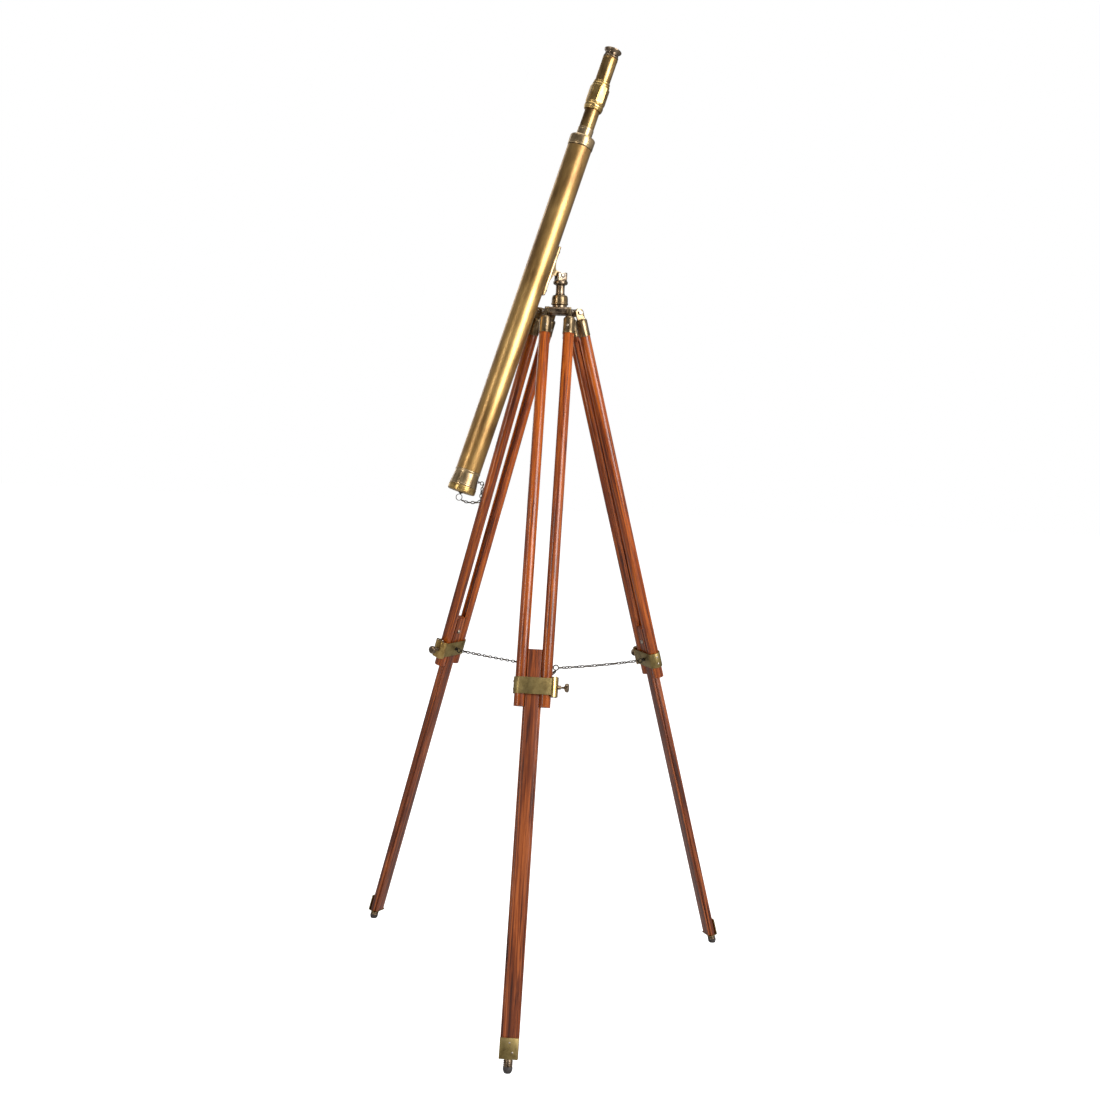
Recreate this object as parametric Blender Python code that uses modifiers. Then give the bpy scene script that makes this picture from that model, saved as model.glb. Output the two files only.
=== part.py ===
"""Telescope on tripod: a brass refracting telescope on a wooden tripod.

Metres, +Z up. The front leg points along -Y. The telescope leans between the front leg and the left leg.
"""

import math

import bmesh
import bpy
from mathutils import Matrix, Vector

# ---------------------------------------------------------------- driving dimensions
# Where the vertical pan axis stands. The origin is the centre of the bounding box's bottom face.
AXIS_X = 0.0
AXIS_Y = 0.114632

# Tripod head
HINGE_Z = 1.442          # height of the leg hinges
HINGE_R = 0.0352         # distance of each leg hinge from the pan axis
BARREL_R = 0.009
BARREL_HALF = 0.022
BORE_R = 0.0033
BOLT_R = 0.0030
HUB_R = 0.0155
BELL_TOP = 1.4775
BELL_R = 0.0172

# Legs, measured along the leg from the hinge
SPLAY = math.radians(16.68)
LEG_AZIMUTHS = (("front", 0.0), ("left", -120.0), ("right", 120.0))
ROD_R = 0.0118
ROD_HALF = 0.02475       # half the distance between the two rods
ROD_TOP = 0.0185
ROD_END = 0.8236
FERRULE_TOP = 0.0135
FERRULE_END = 0.0500
FERRULE_R = 0.0127
GROOVE_TOP = 0.060
GROOVE_HALF = 0.0182     # half the distance between the bottoms of the rods' grooves
GROOVE_THICK = 0.0100
BAND_TOP, BAND_END = 0.7660, 0.7990
BAND_MID = 0.5 * (BAND_TOP + BAND_END)
BAND_WALL = 0.0022
BAND_CLEAR = 0.0004
BLOCK_IN, BLOCK_OUT = 0.0373, 0.0495
BLOCK_TOP, BLOCK_END = 0.7630, 0.8020
BATTEN_HALF = 0.0178     # half width over the tongues
BODY_HALF = 0.0134       # half width between the tongues' shoulders
BATTEN_THICK = 0.0175
TONGUE_THICK = 0.0092
BATTEN_TOP, BATTEN_END = 0.7100, 1.4800
PLATE_TOP = 1.4440
PLATE_WALL = 0.0022
FOOT_R = 0.0091
FOOT_OFFSET = 0.0035     # towards the outer face of the leg

# Spreader chain
CHAIN_R = 0.0015
EYE_REACH = 0.0090       # centre of the eye's ring from the band
EYE_R, EYE_WIRE = 0.0046, 0.0011
RING_R, RING_WIRE = 0.0056, 0.0011
CHAIN_SAG = 0.002
RING_SHIFT = 0.025        # the middle ring hangs to the right of the centre line
# Course of the cap's chain: parts of the way across and of the way up, from the split ring to the screw eye.
CAP_CHAIN_COURSE = (
    (0.0, 0.0), (0.30, -0.13), (0.54, -0.12), (0.75, -0.11),
    (0.89, 0.03), (0.88, 0.22), (0.91, 0.50), (0.94, 0.80), (1.0, 1.0),
)

# Pan post and tilt
TILT_Z = 1.5180
TELESCOPE_AZIMUTH = math.radians(-60.0)   # which way the objective leans from the pan axis
LEAN = math.radians(18.3)                 # of the tube from the vertical
FORK_HALF, SLOT_HALF, LUG_HALF = 0.0100, 0.0044, 0.0040
FORK_R, LUG_R = 0.0108, 0.0068
EAR_TOP = TILT_Z + 0.0062

# Telescope, measured along its axis from the tilt screw, positive towards the objective
TUBE_OFFSET = 0.0540     # tube axis from the tilt screw
TUBE_R, TUBE_WALL = 0.02595, 0.00135
TUBE_A, TUBE_B = -0.2621, 0.4538
COLLAR_A = -0.2849
BUSH_A, BUSH_B, BUSH_R = -0.3046, -0.2560, 0.0168
DRAW_R, DRAW_WALL = 0.01585, 0.0010
DRAW_A, DRAW_B = -0.3600, -0.1900
GUIDE_A = -0.1980
SLEEVE_A, SLEEVE_B = -0.4082, -0.3453
SLEEVE_BORE = 0.0163
EYEPIECE_R = 0.0160
EYEPIECE_A, EYEPIECE_B = -0.4633, -0.3750
CUP_A, CUP_B = -0.4812, -0.4550
SHADE_B = 0.4975
CAP_A, CAP_B = 0.4880, 0.5009
BAR_HALF, BAR_THICK, BAR_WIDE = 0.0540, 0.0056, 0.0060

STEPS = 20


# ---------------------------------------------------------------- helpers
def clear_scene():
    for obj in list(bpy.data.objects):
        bpy.data.objects.remove(obj, do_unlink=True)


clear_scene()
SCENE = bpy.context.scene
PARTS = bpy.data.collections.new("telescope_on_tripod")
SCENE.collection.children.link(PARTS)
WORK = bpy.data.collections.new("cutters")
SCENE.collection.children.link(WORK)

FINISHES = {
    "brass": ((0.47, 0.32, 0.12), 0.28, 1.0),
    "pale_brass": ((0.62, 0.53, 0.36), 0.25, 1.0),
    "bronze": ((0.30, 0.24, 0.15), 0.32, 1.0),
    "band_brass": ((0.35, 0.27, 0.12), 0.35, 1.0),
    "steel": ((0.45, 0.42, 0.37), 0.35, 1.0),
    "rod_wood": ((0.42, 0.12, 0.03), 0.25, 0.0),
    "leg_wood": ((0.33, 0.09, 0.03), 0.35, 0.0),
    "glass": ((0.80, 0.86, 0.88), 0.03, 0.0),
}


def material(name):
    found = bpy.data.materials.get(name)
    if found:
        return found
    colour, rough, metal = FINISHES[name]
    made = bpy.data.materials.new(name)
    made.use_nodes = True
    shader = made.node_tree.nodes["Principled BSDF"]
    shader.inputs["Base Color"].default_value = (*colour, 1.0)
    shader.inputs["Roughness"].default_value = rough
    shader.inputs["Metallic"].default_value = metal
    return made


def empty(name, parent=None, location=(0, 0, 0), rotation=(0, 0, 0)):
    made = bpy.data.objects.new(name, None)
    made.empty_display_size = 0.02
    PARTS.objects.link(made)
    made.parent = parent
    made.location = location
    made.rotation_euler = rotation
    return made


def helper(mesh):
    made = bpy.data.objects.new("helper", mesh)
    WORK.objects.link(made)
    made.hide_render = True
    made.display_type = "WIRE"
    return made


def evaluated_mesh(obj):
    """The object's final mesh, welded. The object is removed."""
    bpy.context.view_layer.update()
    graph = bpy.context.evaluated_depsgraph_get()
    mesh = bpy.data.meshes.new_from_object(obj.evaluated_get(graph))
    mesh.transform(obj.matrix_world)
    bm = bmesh.new()
    bm.from_mesh(mesh)
    bmesh.ops.remove_doubles(bm, verts=bm.verts, dist=1e-6)
    bmesh.ops.recalc_face_normals(bm, faces=bm.faces)
    bm.to_mesh(mesh)
    bm.free()
    bpy.data.objects.remove(obj, do_unlink=True)
    return mesh


def turned(profile, ring=False, steps=STEPS):
    """A turned shape about Z. profile is (radius, z) down the outer side; a ring's profile goes on up its inner side."""
    mesh = bpy.data.meshes.new("profile")
    count = len(profile)
    edges = [(i, i + 1) for i in range(count - 1)]
    if ring:
        edges.append((count - 1, 0))
    mesh.from_pydata([(r, 0.0, z) for r, z in profile], edges, [])
    obj = helper(mesh)
    screw = obj.modifiers.new("Screw", "SCREW")
    screw.axis = "Z"
    screw.angle = 2 * math.pi
    screw.steps = steps
    screw.render_steps = steps
    screw.use_merge_vertices = True
    screw.merge_threshold = 1e-5
    return evaluated_mesh(obj)


def box(size, centre):
    bm = bmesh.new()
    bmesh.ops.create_cube(
        bm, size=1.0, matrix=Matrix.Translation(centre) @ Matrix.Diagonal((*size, 1.0))
    )
    mesh = bpy.data.meshes.new("box")
    bm.to_mesh(mesh)
    bm.free()
    return mesh


def rod(radius, start, end, segments=16, radius_end=None, turn=0.0):
    """A cylinder or cone from start to end."""
    start, end = Vector(start), Vector(end)
    along = end - start
    place = (
        Matrix.Translation((start + end) / 2)
        @ along.to_track_quat("Z", "Y").to_matrix().to_4x4()
        @ Matrix.Rotation(turn, 4, "Z")
    )
    bm = bmesh.new()
    bmesh.ops.create_cone(
        bm,
        cap_ends=True,
        cap_tris=False,
        segments=segments,
        radius1=radius,
        radius2=radius if radius_end is None else radius_end,
        depth=along.length,
        matrix=place,
    )
    mesh = bpy.data.meshes.new("rod")
    bm.to_mesh(mesh)
    bm.free()
    return mesh


def hexagon(across, start, end):
    return rod(across / math.sqrt(3.0), start, end, segments=6)


def ring_mesh(major, minor, place, major_segments=12, minor_segments=5):
    bpy.ops.mesh.primitive_torus_add(
        major_radius=major,
        minor_radius=minor,
        major_segments=major_segments,
        minor_segments=minor_segments,
    )
    obj = bpy.context.object
    mesh = obj.data.copy()
    bpy.data.objects.remove(obj, do_unlink=True)
    mesh.transform(place)
    return mesh


def outline(points, depth, place=None):
    """A flat outline in XY, centred on Z = 0, as thick as depth."""
    curve = bpy.data.curves.new("outline", "CURVE")
    curve.dimensions = "2D"
    curve.fill_mode = "BOTH"
    curve.extrude = depth / 2
    spline = curve.splines.new("POLY")
    spline.points.add(len(points) - 1)
    for point, (x, y) in zip(spline.points, points):
        point.co = (x, y, 0.0, 1.0)
    spline.use_cyclic_u = True
    obj = helper(curve)
    mesh = evaluated_mesh(obj)
    if place is not None:
        mesh.transform(place)
    return mesh


def tube(points, radius):
    curve = bpy.data.curves.new("tube", "CURVE")
    curve.dimensions = "3D"
    curve.bevel_depth = radius
    curve.bevel_resolution = 2
    curve.use_fill_caps = True
    spline = curve.splines.new("POLY")
    spline.points.add(len(points) - 1)
    for point, place in zip(spline.points, points):
        point.co = (*place, 1.0)
    return evaluated_mesh(helper(curve))


def combine(base, others, operation):
    obj = helper(base)
    tools = []
    for other in others:
        tool = helper(other)
        tools.append(tool)
        change = obj.modifiers.new("Boolean", "BOOLEAN")
        change.operation = operation
        change.solver = "EXACT"
        change.object = tool
    mesh = evaluated_mesh(obj)
    for tool in tools:
        bpy.data.objects.remove(tool, do_unlink=True)
    return mesh


def union(base, *others):
    return combine(base, others, "UNION")


def cut(base, *others):
    return combine(base, others, "DIFFERENCE")


def bevelled(mesh, width, segments=1, angle=40):
    obj = helper(mesh)
    bevel = obj.modifiers.new("Bevel", "BEVEL")
    bevel.width = width
    bevel.segments = segments
    bevel.limit_method = "ANGLE"
    bevel.angle_limit = math.radians(angle)
    return evaluated_mesh(obj)


def mirrored(mesh):
    made = mesh.copy()
    made.transform(Matrix.Diagonal((-1, 1, 1, 1)))
    made.flip_normals()
    return made


def piece(name, mesh, finish, parent, location=(0, 0, 0), rotation=(0, 0, 0)):
    mesh.name = name
    mesh.shade_smooth()
    mesh.set_sharp_from_angle(angle=math.radians(32))
    mesh.materials.clear()
    mesh.materials.append(material(finish))
    obj = bpy.data.objects.new(name, mesh)
    PARTS.objects.link(obj)
    obj.parent = parent
    obj.location = location
    obj.rotation_euler = rotation
    return obj


def arc(centre, radius, start, end, count):
    """Points on an arc, in degrees, both ends included."""
    found = []
    for i in range(count):
        angle = math.radians(start + (end - start) * i / (count - 1))
        found.append(
            (centre[0] + radius * math.cos(angle), centre[1] + radius * math.sin(angle))
        )
    return found


ROOT = empty("stand", location=(AXIS_X, AXIS_Y, 0))


# ---------------------------------------------------------------- tripod head
def make_head():
    hub = turned(
        [
            (0.0063, BELL_TOP),
            (0.0118, BELL_TOP),
            (0.0148, BELL_TOP - 0.0010),
            (0.0166, BELL_TOP - 0.0040),
            (BELL_R, BELL_TOP - 0.0085),
            (BELL_R, BELL_TOP - 0.0160),
            (BELL_R + 0.0008, BELL_TOP - 0.0175),
            (BELL_R + 0.0008, 1.4575),
            (BELL_R - 0.0007, 1.4565),
            (HUB_R, 1.4560),
            (HUB_R, 1.4370),
            (0.0135, 1.4350),
            (0.0, 1.4350),
            (0.0, 1.4562),
            (0.0063, 1.4562),
        ],
        ring=True,
    )
    adds, bores = [], []
    for _, azimuth in LEG_AZIMUTHS:
        turn = Matrix.Rotation(math.radians(azimuth), 4, "Z")
        arm = box((0.0140, HINGE_R, 0.0130), (0, -HINGE_R / 2, HINGE_Z))
        barrel = rod(
            BARREL_R,
            (-BARREL_HALF, -HINGE_R, HINGE_Z),
            (BARREL_HALF, -HINGE_R, HINGE_Z),
            16,
        )
        bore = rod(
            BORE_R,
            (-BARREL_HALF - 0.01, -HINGE_R, HINGE_Z),
            (BARREL_HALF + 0.01, -HINGE_R, HINGE_Z),
            8,
        )
        for mesh in (arm, barrel, bore):
            mesh.transform(turn)
        adds += [arm, barrel]
        bores.append(bore)
    hub = cut(union(hub, *adds), *bores)
    piece("hub", hub, "bronze", ROOT)


def hanging_path(start, end, course, steps):
    """Smooth path through (part across, part up) points between two ends, for a hanging chain."""
    across = Vector((end.x - start.x, end.y - start.y, 0))
    points = [start + across * u + Vector((0, 0, (end.z - start.z) * v)) for u, v in course]
    path = []
    for i in range(len(points) - 1):
        a, b = points[max(i - 1, 0)], points[i]
        c, d = points[i + 1], points[min(i + 2, len(points) - 1)]
        for j in range(steps):
            t = j / steps
            path.append(
                0.5
                * (
                    2 * b
                    + (c - a) * t
                    + (2 * a - 5 * b + 4 * c - d) * t * t
                    + (3 * b - a - 3 * c + d) * t**3
                )
            )
    path.append(points[-1])
    return path


# ---------------------------------------------------------------- pan post
def make_post():
    pan = empty("pan_axis", ROOT, rotation=(0, 0, TELESCOPE_AZIMUTH))
    # In this frame -Y is the way the objective leans, and X is along the tilt screw.
    post = turned(
        [
            (0.0, 1.5075),
            (0.0105, 1.5075),
            (0.0138, 1.5068),
            (0.0155, 1.5045),
            (0.0155, 1.5015),
            (0.0138, 1.4988),
            (0.0098, 1.4975),
            (0.0093, 1.4960),
            (0.0093, 1.4800),
            (0.0103, 1.4782),
            (0.0060, 1.4782),
            (0.0060, 1.4570),
            (0.0, 1.4570),
        ]
    )
    fork = box((2 * FORK_HALF, 2 * FORK_R, EAR_TOP - 1.5070), (0, 0, (EAR_TOP + 1.5070) / 2))
    post = union(post, fork)
    slot_floor = TILT_Z - LUG_R - 0.0006
    post = cut(
        post,
        box((2 * SLOT_HALF, 0.04, 0.04), (0, 0, slot_floor + 0.02)),
        rod(BORE_R, (-0.02, 0, TILT_Z), (0.02, 0, TILT_Z), 12),
    )
    piece("pan_post", post, "bronze", pan)
    head_x = FORK_HALF + 0.0003
    screw = union(
        rod(BOLT_R, (-FORK_HALF - 0.0055, 0, TILT_Z), (FORK_HALF + 0.0015, 0, TILT_Z), 12),
        rod(0.0060, (head_x, 0, TILT_Z), (head_x + 0.0022, 0, TILT_Z), 20, 0.0050),
    )
    nut = hexagon(0.0100, (-head_x - 0.0040, 0, TILT_Z), (-head_x, 0, TILT_Z))
    slot = box((0.0024, 0.02, 0.0013), (head_x + 0.0026, 0, TILT_Z))
    piece("tilt_screw", cut(union(screw, nut), slot), "steel", pan)
    return pan


# ---------------------------------------------------------------- telescope
def ring_profile(outer, inner_r):
    """Closed profile from outer side points (s, radius), eyepiece end first, and one bore radius."""
    down = [(r, -s) for s, r in outer]
    return down + [(inner_r, down[-1][1]), (inner_r, down[0][1])]


def make_telescope(pan):
    # Local frame: origin on the tilt screw, X towards the tube, Z towards the eyepiece, Y along the screw.
    tilt = empty("tilt_axis", pan, (0, 0, TILT_Z))
    a = Vector((0, -math.sin(LEAN), -math.cos(LEAN)))
    n = Vector((0, -math.cos(LEAN), math.sin(LEAN)))
    z = -a
    y = z.cross(n)
    tilt.rotation_euler = Matrix((n, y, z)).transposed().to_euler()
    axis = empty("tube_axis", tilt, (TUBE_OFFSET, 0, 0))

    # Cradle: lug in the fork, fin, and the saddle bar along the tube.
    bar_top = TUBE_OFFSET - TUBE_R - 0.0005
    bar_low = bar_top - BAR_THICK
    side = arc((0, 0), LUG_R, 50, 310, 11)
    neck = LUG_R * math.sin(math.radians(50))
    flare = [
        (bar_low - (bar_low - 0.0135) * (1 - i / 6.0), -neck - 0.019 * (i / 6.0) ** 2.2)
        for i in range(7)
    ]
    fin = outline(
        side
        + flare
        + [(bar_low + 0.002, flare[-1][1]), (bar_low + 0.002, -flare[-1][1])]
        + [(px, -py) for px, py in reversed(flare)],
        2 * LUG_HALF,
        # outline X is the frame's X, outline Y is its Z, and its thickness is along Y
        Matrix.Rotation(math.radians(90), 4, "X"),
    )
    bar = box(
        (BAR_THICK, 2 * BAR_WIDE, 2 * BAR_HALF), ((bar_top + bar_low) / 2, 0, 0)
    )
    bar = bevelled(bar, 0.0012)
    cradle = union(fin, bar)
    cradle = cut(
        cradle,
        rod(BORE_R, (0, -0.02, 0), (0, 0.02, 0), 12),
        rod(0.0021, (0, 0, 0.043), (0.05, 0, 0.043), 12),
        rod(0.0021, (0, 0, -0.043), (0.05, 0, -0.043), 12),
    )
    piece("cradle", cradle, "bronze", tilt)
    for name, place in (("upper", 0.043), ("lower", -0.043)):
        screw = turned(
            [
                (0.0, bar_top + 0.0002),
                (0.0018, bar_top + 0.0002),
                (0.0018, bar_low - 0.0003),
                (0.0042, bar_low - 0.0003),
                (0.0036, bar_low - 0.0017),
                (0.0018, bar_low - 0.0026),
                (0.0, bar_low - 0.0028),
            ],
            steps=16,
        )
        screw.transform(
            Matrix.Translation((0, 0, place)) @ Matrix.Rotation(math.radians(90), 4, "Y")
        )
        piece("cradle_screw_" + name, screw, "steel", tilt)

    def on_axis(name, mesh, finish):
        return piece(name, mesh, finish, axis)

    inner = TUBE_R - TUBE_WALL
    on_axis(
        "main_tube",
        turned(
            [
                (TUBE_R, -TUBE_A),
                (TUBE_R, -TUBE_B),
                (inner, -TUBE_B),
                (inner, -TUBE_A),
            ],
            ring=True,
            steps=24,
        ),
        "brass",
    )
    on_axis(
        "rear_collar",
        turned(
            [
                (0.0245, -COLLAR_A),
                (0.0262, -(COLLAR_A + 0.0008)),
                (0.0271, -(COLLAR_A + 0.0030)),
                (0.0271, -(TUBE_A - 0.0035)),
                (0.0264, -(TUBE_A - 0.0003)),
                (BUSH_R + 0.0003, -(TUBE_A - 0.0003)),
                (BUSH_R + 0.0003, -COLLAR_A),
            ],
            ring=True,
            steps=24,
        ),
        "brass",
    )
    on_axis(
        "draw_bush",
        turned(
            [
                (BUSH_R - 0.0005, -BUSH_A),
                (BUSH_R, -(BUSH_A + 0.0008)),
                (BUSH_R, -BUSH_B),
                (DRAW_R + 0.0002, -BUSH_B),
                (DRAW_R + 0.0002, -BUSH_A),
            ],
            ring=True,
            steps=20,
        ),
        "pale_brass",
    )
    shade = turned(
        [
            (inner - 0.0003, -0.4400),
            (inner - 0.0003, -(TUBE_B + 0.0003)),
            (0.0264, -(TUBE_B + 0.0003)),
            (0.0264, -0.4580),
            (0.0258, -0.4595),
            (0.0262, -0.4660),
            (0.0272, -0.4760),
            (0.0286, -0.4850),
            (0.0286, -0.4872),
            (0.0278, -0.4877),
            (0.0278, -SHADE_B),
            (0.0238, -SHADE_B),
            (0.0238, -0.4595),
            (0.0215, -0.4595),
            (0.0215, -0.4400),
        ],
        ring=True,
        steps=24,
    )
    on_axis("objective_sleeve", shade, "pale_brass")
    on_axis(
        "objective_lens",
        turned(
            [
                (0.0, -0.4598),
                (0.0080, -0.4600),
                (0.0165, -0.4608),
                (0.0235, -0.4620),
                (0.0235, -0.4660),
                (0.0165, -0.4682),
                (0.0080, -0.4696),
                (0.0, -0.4700),
            ],
            steps=20,
        ),
        "glass",
    )

    # Screw eye for the cap chain on the sleeve's side: its ring stands out from the tube.
    eye_turn = math.radians(180.0 - 25.0)
    eye = union(
        turned(
            [
                (0.0, 0.0325),
                (0.0014, 0.0325),
                (0.0014, 0.0292),
                (0.0028, 0.0290),
                (0.0028, 0.0276),
                (0.0, 0.0276),
            ],
            steps=12,
        ),
        ring_mesh(
            0.0034,
            0.0009,
            Matrix.Translation((0, 0, 0.0355)) @ Matrix.Rotation(math.pi / 2, 4, "X"),
        ),
    )
    eye.transform(
        Matrix.Rotation(eye_turn, 4, "Z")
        @ Matrix.Translation((0, 0, -0.4700))
        @ Matrix.Rotation(math.pi / 2, 4, "Y")
    )
    on_axis("sleeve_eye", eye, "pale_brass")

    # Draw tube with the guide ring that keeps its inner end in the middle of the main tube.
    on_axis(
        "draw_tube",
        turned(
            [
                (DRAW_R, -DRAW_A),
                (DRAW_R, -GUIDE_A),
                (inner - 0.0004, -GUIDE_A),
                (inner - 0.0004, -DRAW_B),
                (DRAW_R - DRAW_WALL, -DRAW_B),
                (DRAW_R - DRAW_WALL, -DRAW_A),
            ],
            ring=True,
            steps=20,
        ),
        "brass",
    )
    low = turned(
        [
            (0.0192, 0.3612),
            (0.0201, 0.3595),
            (0.0201, 0.3575),
            (0.0192, 0.3560),
            (0.0198, 0.3540),
            (0.0202, 0.3510),
            (0.0196, 0.3480),
            (0.0186, 0.3453),
            (SLEEVE_BORE, 0.3453),
            (SLEEVE_BORE, 0.3612),
        ],
        ring=True,
        steps=20,
    )
    grip = cut(
        rod(0.0208, (0, 0, 0.3605), (0, 0, 0.3968), 8, turn=math.radians(22.5)),
        rod(SLEEVE_BORE, (0, 0, 0.35), (0, 0, 0.41), 20),
    )
    high = turned(
        [
            (0.0170, 0.4082),
            (0.0176, 0.4070),
            (0.0176, 0.4045),
            (0.0170, 0.4035),
            (0.0183, 0.4020),
            (0.0187, 0.3995),
            (0.0183, 0.3960),
            (SLEEVE_BORE, 0.3960),
            (SLEEVE_BORE, 0.4082),
        ],
        ring=True,
        steps=20,
    )
    on_axis("focus_sleeve", union(grip, low, high), "brass")

    on_axis(
        "eyepiece_tube",
        turned(
            [
                (EYEPIECE_R - 0.0006, -EYEPIECE_A),
                (EYEPIECE_R, -(EYEPIECE_A + 0.0006)),
                (EYEPIECE_R, -EYEPIECE_B),
                (EYEPIECE_R - 0.0011, -EYEPIECE_B),
                (EYEPIECE_R - 0.0011, -EYEPIECE_A),
            ],
            ring=True,
            steps=20,
        ),
        "brass",
    )
    cup_top = -CUP_A
    on_axis(
        "eye_cup",
        turned(
            [
                (0.0180, cup_top),
                (0.0188, cup_top - 0.0008),
                (0.0186, cup_top - 0.0022),
                (0.0160, cup_top - 0.0050),
                (0.0136, cup_top - 0.0072),
                (0.0130, cup_top - 0.0086),
                (0.0144, cup_top - 0.0098),
                (0.0144, cup_top - 0.0112),
                (0.0134, cup_top - 0.0124),
                (0.0156, cup_top - 0.0138),
                (0.0160, cup_top - 0.0150),
                (0.0160, 0.4637),
                (EYEPIECE_R - 0.0014, 0.4637),
                (EYEPIECE_R - 0.0014, -CUP_B),
                (0.0129, -CUP_B),
                (0.0129, 0.4625),
                (0.0065, 0.4625),
                (0.0065, cup_top - 0.0085),
                (0.0165, cup_top - 0.0004),
            ],
            ring=True,
            steps=20,
        ),
        "brass",
    )
    on_axis(
        "eye_lens",
        turned(
            [
                (0.0, 0.4622),
                (0.0070, 0.4617),
                (0.0126, 0.4600),
                (0.0126, 0.4578),
                (0.0070, 0.4572),
                (0.0, 0.4570),
            ],
            steps=24,
        ),
        "glass",
    )

    # Lens cap, slipped over the sleeve's end, with its centre eye and split ring.
    on_axis(
        "lens_cap",
        turned(
            [
                (0.0288, -CAP_A),
                (0.0292, -(CAP_A + 0.0008)),
                (0.0292, -(CAP_B - 0.0030)),
                (0.0282, -(CAP_B - 0.0010)),
                (0.0262, -CAP_B),
                (0.0, -CAP_B),
                (0.0, -(CAP_B - 0.0018)),
                (0.0281, -(CAP_B - 0.0026)),
                (0.0281, -CAP_A),
            ],
            steps=24,
            ring=True,
        ),
        "brass",
    )
    eye_z = -(CAP_B + 0.0003)
    cap_eye = union(
        turned(
            [
                (0.0, eye_z),
                (0.0050, eye_z),
                (0.0046, eye_z - 0.0016),
                (0.0022, eye_z - 0.0026),
                (0.0016, eye_z - 0.0050),
                (0.0, eye_z - 0.0050),
            ],
            steps=16,
        ),
        ring_mesh(
            0.0066,
            0.0009,
            Matrix.Translation((0, 0, eye_z - 0.0110)) @ Matrix.Rotation(math.pi / 2, 4, "X"),
            14,
            5,
        ),
    )
    on_axis("cap_ring", cap_eye, "pale_brass")

    # Cap chain, from the split ring up to the screw eye in a hanging loop.
    bpy.context.view_layer.update()
    to_stand = ROOT.matrix_world.inverted() @ axis.matrix_world
    start = to_stand @ Vector((-0.0082, 0.0018, eye_z - 0.0150))
    out = Matrix.Rotation(eye_turn, 4, "Z") @ Vector((0.0355 + 0.0062, 0, 0))
    end = to_stand @ (out + Vector((0, 0, -0.4712)))
    path = hanging_path(start, end, CAP_CHAIN_COURSE, 2)
    piece("cap_chain", tube(path, 0.0010), "pale_brass", ROOT)


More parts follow.
